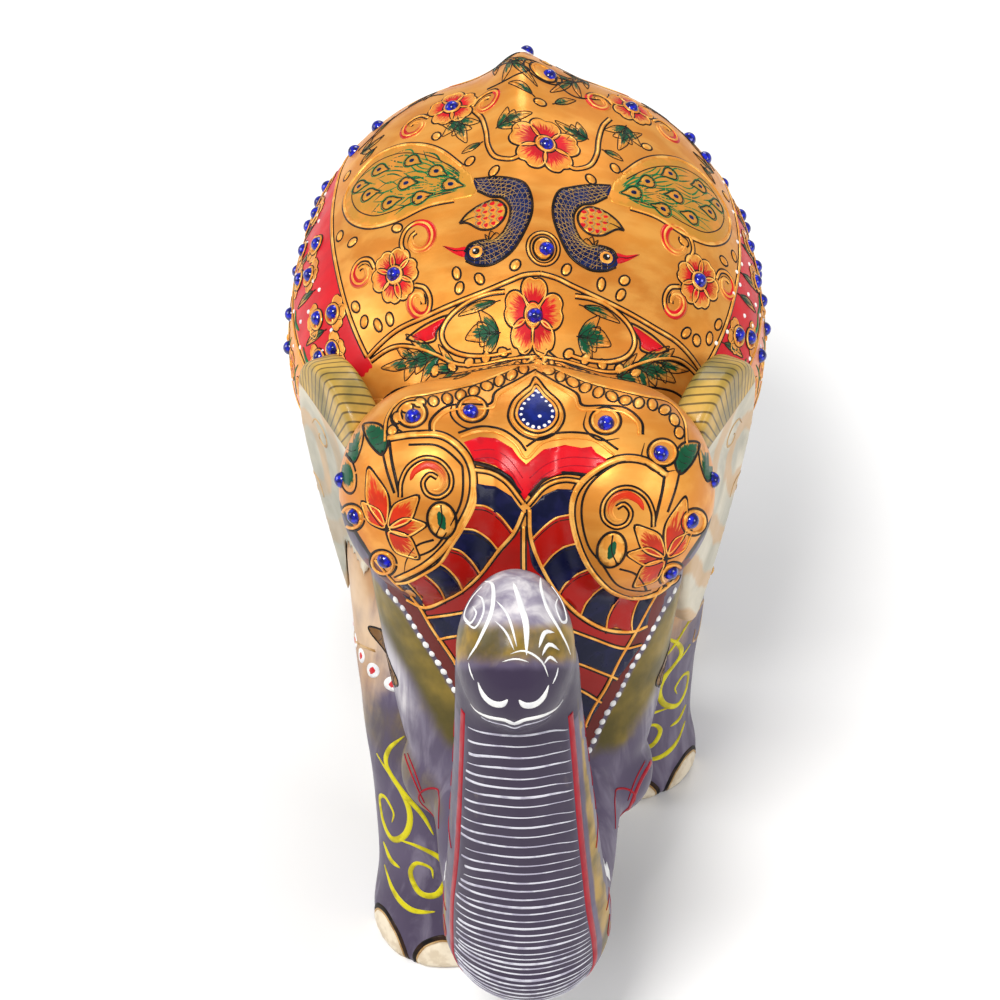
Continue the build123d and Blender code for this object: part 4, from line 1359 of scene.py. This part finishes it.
PAISLEY = [(2.2, 105.4), (4.2, 102.9), (6.6, 100.4), (7.2, 97.6), (5.6, 95.0), (2.6, 93.8), (-0.6, 94.9),
           (-2.6, 97.6), (-2.0, 100.6), (-0.2, 102.6), (1.2, 103.8)]


def paisley(wide, tall, middle=99.0):
    """The forehead drop's outline, grown about its middle."""
    return [(2.5 + (a - 2.5) * wide, middle + (b - middle) * tall) for a, b in PAISLEY]


def face_places(node):
    return [(p[0], SLANT * (p[1] + p[2])) for p in stones_of(node)]


def face_paint():
    """Everything on the painted face, in the order a brush would lay it."""
    brow_side(on_face)
    brow_side(lambda a, b: on_face(4.4 - a, b - 0.4))
    for size in (1.0, 0.82):
        stroke("raised_gold", on_face, paisley(size * 1.18, size * 1.16), 0.8, 0.34, closed=True)
    stroke("ink", on_face, paisley(1.36, 1.34), 0.42, 0.2, closed=True)
    stroke("ink", on_face, paisley(1.04, 1.04), 0.5, 0.2, closed=True)
    patch("paisley_blue", on_face, PAISLEY, 0.2)
    inset = paisley(0.76, 0.78, 98.8)
    dotted("white", on_face, inset + inset[:1], 1.42, 0.5)
    dot("white", on_face, (3.0, 97.6), 0.62)
    heart = [(-14.9, 91.4), (-11.2, 92.7), (-7.4, 92.4), (-3.6, 90.1), (-0.2, 86.2), (3.9, 89.7), (9, 90.8),
             (15.2, 90.4), (19.5, 86.9), (14.2, 83.4), (8.6, 84.2), (3.6, 82.6), (-0.6, 77.6), (-3.6, 83.2),
             (-7.4, 85.9), (-12.4, 87.0)]
    patch("scarlet", on_face, heart, 0.12, rounded=False)
    stroke("raised_gold", on_face, [(-15.6, 92.6), (-11.2, 94.0), (-6.8, 93.6), (-2.8, 91.0), (-0.2, 87.6),
                                    (3.6, 91.2), (9, 92.4), (15.6, 91.8), (20.4, 88.4)], 0.7, 0.32)
    stroke("ink", on_face, [(-16.2, 93.6), (-11.2, 95.2), (-6.2, 94.6), (-2.2, 92.0), (-0.2, 89.4)], 0.4,
           0.18)
    stroke("ink", on_face, [(-0.2, 90.4), (3.4, 92.6), (9, 93.8), (16, 93.0), (21.4, 89.6)], 0.4, 0.18)
    for shift in (2.2, 4.2):
        stroke("crimson_line", on_face, [(-12.6, 91.6 - shift), (-8, 91.8 - shift),
                                         (-4.2, 90.0 - shift * 1.2), (-1.0, 86.0 - shift * 1.4)], 0.4, 0.2)
        stroke("crimson_line", on_face, [(17.0, 89.6 - shift), (10, 90.0 - shift),
                                         (4.6, 88.6 - shift * 1.1), (0.6, 86.0 - shift * 1.4)], 0.4, 0.2)
    outlined(on_face, [(-12.4, 84.9), (-8.4, 84.2), (-4.6, 81.8), (-0.8, 76.9)], 0.8, height=0.3)
    outlined(on_face, [(13.4, 81.9), (8.6, 82.5), (4.2, 80.9), (0.2, 76.5)], 0.8, height=0.3)
    stroke("ink", on_face, [(-12.6, 86.6), (-8.2, 85.4), (-4.2, 83.0), (-1.4, 79.4)], 0.8, 0.16)
    stroke("ink", on_face, [(14.4, 83.6), (8.8, 84.2), (4.0, 82.6), (0.4, 78.8)], 0.8, 0.16)
    banded_arcs(ARC_CUTS_RIGHT)
    banded_arcs(ARC_CUTS_LEFT)
    chevrons()
    for line in (PANEL_RIGHT, PANEL_LEFT):
        stroke("ink", on_face, line, 1.75, 0.1)
        stroke("raised_gold", on_face, line, 1.5, 0.3)
        inward = [(p[0] + (-2.6 if p[0] < 0 else 2.6) * (0.9 if 60 < p[1] < 88 else 0.4),
                   p[1] - (2.4 if p[1] > 88 else 0 if p[1] > 66 else -2.0)) for p in line[1:-1]]
        stroke("ink", on_face, inward, 0.4, 0.16)
    lily(on_face)
    lily(lambda a, b: on_face(-a, b - 7))
    heart_leaf(on_face)
    heart_leaf(lambda a, b: on_face(2.0 - a, b - 4.5))
    for at in face_places("forehead_stones"):
        stroke("ink", on_face, oval(at, 3.7, 3.3), 0.42, 0.18, closed=True)
        stroke("raised_gold", on_face, oval(at, 3.0, 2.7), 0.7, 0.4, closed=True)
        stroke("ink", on_face, [(at[0] - 4.4, at[1] + 2.2), (at[0] - 5.0, at[1] - 1.6),
                                (at[0] - 1.6, at[1] - 4.6), (at[0] + 3.2, at[1] - 4.2)], 0.35, 0.16, "both")
    for at in face_places("dome_stones"):
        if abs(at[0]) < 43:
            stroke("ink", on_face, oval(at, 3.5, 3.3), 0.42, 0.18, closed=True)
            stroke("raised_gold", on_face, oval(at, 2.7, 2.6), 0.8, 0.45, closed=True)
    patch("leaves_strong", on_face, oval((-43.2, 84.0), 1.6, 3.6, 0.25), 0.2)
    stroke("ink", on_face, oval((-43.2, 84.0), 2.4, 4.8, 0.25), 0.45, 0.2, closed=True)
    for line in (VEE_RIGHT[1:], VEE_LEFT[:-1]):
        outlined(on_face, line, 1.0, height=0.3)
    for edge, way in ((VEE_RIGHT[1:], -1), (VEE_LEFT[:-1][::-1], 1)):
        line = [(a + way * 3.1, b - 2.2) for a, b in edge]
        dotted("white", on_face, [q for q in line[:-1] if abs(q[0]) < 38], 2.7, 0.9, 0.45)


def cheek_paint():
    """A hatched brown almond behind each eye, and crimson lines down the cheeks."""
    for side in (-1, 1):
        place = on_side(side, skin_tree)
        almond = [(-30.5, 93.4), (-36, 97.2), (-43, 99.2), (-50, 97.6), (-51.5, 94.6), (-48, 91.4),
                  (-42, 90.2), (-36, 90.8)]
        patch("brown", place, almond, 0.1)
        stroke("ink", place, almond, 0.4, 0.2, closed=True)
        for k in range(7):
            for low, top in ((-34, -35.6), (-35.6, -33.6)):
                shift = 2.4 * k
                hatch = [(low - shift, 92), (-35 - shift, 94.5), (top - shift, 96.6)]
                stroke("ink", place, hatch, 0.14, 0.22)
    for width, line in ((0.6, [(-32.2, 12.2), (-30.4, 8.0), (-28.4, 3.4), (-26.6, -0.6)]),
                        (0.5, [(-31.0, 12.0), (-29.0, 7.6), (-27.2, 2.6)]),
                        (1.5, [(32.4, 9.6), (29.6, 5.4), (27.6, 0.6), (26.2, -3.6)]),
                        (0.5, [(30.6, 10.2), (28.0, 5.6), (26.0, 0.0)])):
        stroke("crimson_line", on_face, line, width, 0.2, "both")


# ---------------------------------------------------------------- the trunk

TIP_LINES = [
    (1.7, "drop", [(-3.0, -94.6), (-1.3, -101.5), (-0.2, -106.0), (-0.1, -111.6)]),
    (0.6, "both", [(-6.7, -99.6), (-4.2, -104.0), (-2.2, -110.4)]),
    (0.5, "both", [(-7.0, -104.6), (-4.6, -107.6), (-2.8, -111.0)]),
    (1.1, "both", [(-9.4, -89.6), (-7.6, -93.8), (-7.8, -102.0), (-10.6, -107.0), (-13.0, -108.0)]),
    (0.8, "both", [(-10.0, -91.8), (-12.8, -93.6), (-14.0, -97.0), (-12.6, -101.4), (-11.2, -100.4),
                   (-12.0, -97.2)]),
    (0.6, "both", [(-13.6, -100.0), (-11.4, -103.6), (-9.6, -101.4), (-9.8, -97.4), (-11.0, -94.4)]),
    (1.0, "both", [(3.0, -89.0), (3.2, -95.0), (4.6, -100.4), (7.4, -103.4), (9.6, -104.6)]),
    (0.7, "both", [(5.4, -90.0), (7.8, -93.6), (8.8, -98.2), (7.6, -100.6), (6.4, -98.0), (6.8, -94.0)]),
    (1.0, "both", [(5.9, -104.9), (3.9, -106.2), (2.6, -109.6)]),
    (0.9, "both", [(7.0, -107.3), (4.8, -108.0), (3.3, -110.6)]),
    (0.7, "both", [(6.6, -109.6), (5.0, -110.0), (3.8, -111.6)]),
    (0.5, "both", [(-3.6, -111.6), (-0.6, -111.0), (3.2, -111.6), (4.6, -112.8)]),
    (0.4, "both", [(-5.4, -112.6), (-2.4, -112.4), (0.4, -112.6)]),
]


def trunk_paint():
    """Crimson edge lines, white rungs between them, the marks on the tip and those on the sides."""
    heights = [146, 138, 124, 108, 92, 76, 62, 50, 40]
    for table in (STRIP_RIGHT, STRIP_LEFT):
        stroke("crimson_line", on_column, [(np.interp(h, STRIP_HEIGHTS, table), h) for h in heights], 2.0,
               0.16)
    z, k = 142.4, 0
    while z > 33:
        low, high = np.interp(z, STRIP_HEIGHTS, STRIP_RIGHT), np.interp(z, STRIP_HEIGHTS, STRIP_LEFT)
        inset, tilt = DICE.uniform(0.6, 2.2), DICE.uniform(-0.3, 0.7)
        bow = np.interp(z, (46, 70), (0.4, 3.4))
        spots = [(low + inset, z - tilt), (low * 0.5, z - 0.35 + 0.8 * bow),
                 (0.5 * (low + high), z - 0.45 + bow), (high * 0.5, z - 0.2 + 0.8 * bow),
                 (high - 0.9, z + tilt)]
        stroke("white_line", on_column, spots, DICE.uniform(0.6, 0.95), 0.12, "end" if k % 3 else "both")
        z -= np.interp(z, (56, 66, 90, 142), (1.75, 2.0, 3.2, 3.6)) * DICE.uniform(0.88, 1.12)
        k += 1
    for width, taper, line in TIP_LINES:
        stroke("white", on_tip, line, width, 0.16, taper)
    for x0, way in ((-7.6, 1), (1.6, -1)):
        spots = [(x0 - way * 3.2, 166.2), (x0 - way * 2.4, 163.2), (x0, 162.0), (x0 + way * 2.6, 163.0),
                 (x0 + way * 3.4, 165.2),
                 (x0 + way * 1.6, 164.1), (x0 - way * 0.4, 163.9), (x0 - way * 1.9, 164.8)]
        patch("white", on_tip_face, spots, 0.12, pitch=0.6)
        stroke("white", on_tip_face, [(x0 - way * 4.0, 165.8), (x0 - way * 4.9, 166.8),
                                      (x0 - way * 5.2, 168.0)], 0.5, 0.14, "both")
    lip = [(-12.6, 153.2), (-10.2, 155.8), (-7.4, 157.6), (-4.8, 158.2), (-2.8, 157.0), (-0.6, 158.4),
           (2.2, 158.0), (5.2, 156.4), (8.0, 153.6)]
    stroke("white", on_tip_face, lip, 1.4, 0.14, "both")
    stroke("white_line", on_tip_face, [(a, b - 2.4) for a, b in lip[1:-1]], 0.5, 0.14, "both")
    for side in (-1, 1):
        place = on_side(side, skin_tree)
        stroke("crimson_line", place, [(-103, 94), (-99, 98), (-92, 97), (-85, 90), (-81, 80), (-82, 72),
                                       (-88, 69), (-92, 73), (-90, 79)], 0.7, 0.2, "both")
        stroke("crimson_line", place, [(-101, 66), (-95, 66), (-90, 60), (-91, 53), (-97, 51), (-100, 55),
                                       (-97, 59)], 0.7, 0.2, "both")
        stroke("crimson_line", place, [(-77, 68), (-72, 74), (-67, 72), (-66, 65), (-71, 62), (-74, 65)],
               0.6, 0.2, "both")
        for y, z in ((-91, 84), (-95, 75), (-87, 62), (-96, 45)):
            patch("white", place, [(y - 1.6, z + 3.6), (y + 1.9, z + 3.0), (y + 0.5, z - 3.4)], 0.12,
                  rounded=False, pitch=0.8)
        for z in (104, 113, 122, 131):
            stroke("crimson_line", place, [(-99, z), (-95, z + 4), (-91, z + 2), (-92, z - 2)], 0.5, 0.2,
                   "both")


# ---------------------------------------------------------------- legs, flanks and ears

LEG_SCROLLS = [
    [(12.5, 56), (19.4, 50.6), (22.4, 43.5), (20.4, 36.4), (14.6, 32), (10.2, 34.6), (9.4, 40.4),
     (13.2, 43.4), (16.4, 40.8), (15.4, 37.4)],
    [(23.5, 67), (18.4, 61), (16.4, 55), (20.6, 49.6), (26, 44), (29, 38)],
    [(17, 33.5), (24, 33.8), (30.4, 31), (32, 25.4), (28.8, 20.4), (23.4, 20.2), (20.8, 24.8), (23.2, 28.6),
     (27.4, 28), (28, 25)],
    [(8.8, 20.8), (13.4, 16.6), (20.1, 14.6), (28, 15.6)],
    [(9.2, 27.8), (12.6, 25), (17, 24.8)],
]


def leg_paint(leg):
    """Thick yellow scrolls round the leg; cream nails under tan and black arches."""
    for side, start in ((1, 0), (1, 29), (-1, 0), (-1, 29)):
        place = on_leg(leg, side)
        for line in LEG_SCROLLS:
            stroke("yellow", place, [(arc + start, height) for arc, height in line], 1.9, 0.2, "both")
    front = on_leg(leg)
    quarter = LEG_RADIUS * math.pi / 2 * (1 if LEG_FEET[leg][0] < 0 else -1)
    half = 7.6
    for turn in (-57, 0, 57):
        centre = quarter + LEG_RADIUS * math.radians(turn)
        arch = [(centre - half, 0.4), (centre - half * 0.92, 3.4), (centre - half * 0.6, 6.6),
                (centre, 8.3), (centre + half * 0.6, 6.6), (centre + half * 0.92, 3.4),
                (centre + half, 0.4)]
        patch("cream", front, arch, 0.42, rounded=False)
        stroke("tan_line", front, arch, 0.6, 0.34)
        stroke("ink", front, [(centre + (a - centre) * 1.09, b * 1.10) for a, b in arch], 1.1, 0.2)


def flank_paint(side):
    """Below the cloth: a strung necklace at the shoulder, tan swirls and yellow sprays on the plum wood."""
    place = on_side(side, skin_tree)
    for k in range(9):
        y, z = -40 + 5.0 * k, 81.5 + 0.20 * (k - 1) ** 2
        patch("white", place, oval((y, z), 1.7, 2.7, 0.2), 0.1, pitch=0.9)
        patch("scarlet", place, oval((y, z), 0.95, 1.8, 0.2), 0.3, pitch=0.8)
    stroke("tan_line", place, [(-34, 88), (-22, 81), (-8, 80), (6, 84), (16, 92)], 0.8, 0.24)
    for y, z in ((2, 58), (48, 80), (84, 72), (70, 92)):
        stroke("tan_line", place, [(y - 8, z + 8), (y, z + 9), (y + 6, z + 3), (y + 3, z - 4),
                                   (y - 3, z - 3), (y - 3, z + 2)], 1.3, 0.18, "both")
        stroke("yellow", place, [(y - 12, z - 2), (y - 9, z + 5), (y - 4, z + 13)], 1.2, 0.2, "both")


def ear_face(side):
    """Two tan curls on the flap's outer face."""
    shape, faces = ears["left" if side > 0 else "right"]
    place = on_side(side, BVHTree.FromPolygons(shape.tolist(), faces.tolist()))
    for y, z, size, way in ((-6, 139, 5, 1), (0, 116, 5, -1)):
        spiral = [(y + way * size * (1 - k / 9) * math.cos(0.9 * k),
                   z + size * (1 - k / 9) * math.sin(0.9 * k)) for k in range(9)]
        stroke("tan_line", place, spiral, 0.9, 0.14, "both")


for side in (-1, 1):
    nape_side(mirrored(on_back, side))
    flank_paint(side)
    ear_face(side)
face_paint()
cheek_paint()
trunk_paint()
for leg in LEG_FEET:
    leg_paint(leg)

PAINTS = {
    "ink": stroke_paint("ink_line", INK, (0.030, 0.014, 0.008), 0.42),
    "raised_gold": stroke_paint("raised_gold", GOLD, GOLD_LIGHT, 0.36, 0.4),
    "fan_gold": stroke_paint("fan_gold", (0.66, 0.30, 0.04), GOLD, 0.38, 0.4),
    "fan_green": stroke_paint("fan_green", (0.003, 0.15, 0.042), (0.004, 0.085, 0.030), 0.38),
    "net": stroke_paint("net_line", (0.50, 0.29, 0.08), (0.30, 0.20, 0.10), 0.4),
    "peacock_blue": stroke_paint("peacock_blue", (0.002, 0.006, 0.045), (0.005, 0.014, 0.085), 0.36),
    "paisley_blue": stroke_paint("paisley_blue", (0.004, 0.010, 0.10), (0.006, 0.016, 0.17), 0.3),
    "navy": stroke_paint("navy", NAVY, (0.007, 0.008, 0.045), 0.3),
    "brick_red": stroke_paint("brick_red", BRICK, (0.36, 0.012, 0.008), 0.34),
    "scarlet": stroke_paint("scarlet", SCARLET, (0.52, 0.008, 0.016), 0.3),
    "crimson_line": stroke_paint("crimson_line", CRIMSON, (0.30, 0.006, 0.02), 0.34),
    "white": stroke_paint("white_paint", WHITE, (0.72, 0.72, 0.74), 0.4),
    "white_line": stroke_paint("white_line", (0.66, 0.66, 0.73), (0.42, 0.40, 0.50), 0.42),
    "yellow": stroke_paint("yellow_paint", YELLOW, (0.45, 0.38, 0.008), 0.36),
    "cream": stroke_paint("cream_nail", CREAM, (0.66, 0.55, 0.40), 0.34),
    "tan_line": stroke_paint("tan_line", TAN, (0.36, 0.20, 0.07), 0.38),
    "brown": stroke_paint("brown_paint", (0.16, 0.070, 0.014), (0.24, 0.120, 0.024), 0.4),
    "petals": petal_paint("petals", SCARLET, 0.72, 0.62),
    "petals_strong": petal_paint("petals_strong", (0.62, 0.030, 0.006), 0.74, 0.9),
    "hem_petals": petal_paint("hem_petals", (0.60, 0.07, 0.03), 0.55, 0.5),
    "leaves": petal_paint("leaves", GREEN, 0.80, 0.9),
    "leaves_strong": petal_paint("leaves_strong", GREEN, 1.02, 0.6),
}
for name, pile in PILES.items():
    values = {key: np.concatenate(pile[key]) for key in ("along", "sweep", "tint", "inner")}
    piece = new_object("paint_" + name, np.concatenate(pile["points"]), pile["faces"], PAINTS[name], values)
    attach(piece, "root")


# ---------------------------------------------------------------- camera, floor and light

CAMERA_TARGET = np.array((0.0, -50.0, 160.0))
CAMERA_DISTANCE = 620.0
CAMERA_WAY = np.array((0, -0.70711, 0.70711))
LIGHT_TARGET = Vector((0, 0, 0.09))
camera_data = bpy.data.cameras.new("camera")
camera_data.lens = 93.7
camera_data.sensor_width = 36
camera_data.shift_x = -0.027
camera_data.clip_start = 0.01
camera_data.clip_end = 20
camera = bpy.data.objects.new("camera", camera_data)
bpy.context.scene.collection.objects.link(camera)
camera.location = to_row(CAMERA_TARGET + CAMERA_DISTANCE * CAMERA_WAY)[0]
camera.rotation_euler = (math.radians(45), 0, 0)
bpy.context.scene.camera = camera


def soft_light(name, place, size, power, colour=(1, 1, 1)):
    data = bpy.data.lights.new(name, "AREA")
    data.size = size
    data.energy = power
    data.color = colour
    lamp = bpy.data.objects.new(name, data)
    bpy.context.scene.collection.objects.link(lamp)
    lamp.location = place
    lamp.rotation_euler = (LIGHT_TARGET - Vector(place)).to_track_quat("-Z", "Y").to_euler()


soft_light("key", (-0.30, -0.55, 1.25), 0.35, 12, (1.0, 0.98, 0.95))
soft_light("fill", (0.95, -0.6, 0.7), 0.5, 4.5)
soft_light("side", (-1.05, 0.1, 0.55), 0.5, 3.5)
soft_light("rear", (0.15, 0.95, 1.0), 0.5, 4.5)

world = bpy.data.worlds.new("pale_room")
bpy.context.scene.world = world
world.use_nodes = True
room = world.node_tree.nodes["Background"]
room.inputs["Color"].default_value = (1, 1, 1, 1)
path = world.node_tree.nodes.new("ShaderNodeLightPath")
seen = world.node_tree.nodes.new("ShaderNodeMapRange")
seen.inputs["To Min"].default_value = 0.42
seen.inputs["To Max"].default_value = 0.95
world.node_tree.links.new(path.outputs["Is Camera Ray"], seen.inputs["Value"])
world.node_tree.links.new(seen.outputs["Result"], room.inputs["Strength"])
bpy.context.scene.view_settings.view_transform = "Standard"

floor_mesh = bpy.data.meshes.new("floor")
floor_mesh.from_pydata([(-4, -4, 0), (4, -4, 0), (4, 4, 0), (-4, 4, 0)], [], [(0, 1, 2, 3)])
floor_paint = Paint("floor_paint", 0.8, 0.0)
floor_paint.colour(floor_paint.mix(floor_paint.step(floor_paint.noise(3, 3), 0.3, 0.7), (0.93, 0.93, 0.93),
                                   (0.95, 0.95, 0.95)))
floor_mesh.materials.append(floor_paint.material)
floor = bpy.data.objects.new("floor", floor_mesh)
bpy.context.scene.collection.objects.link(floor)
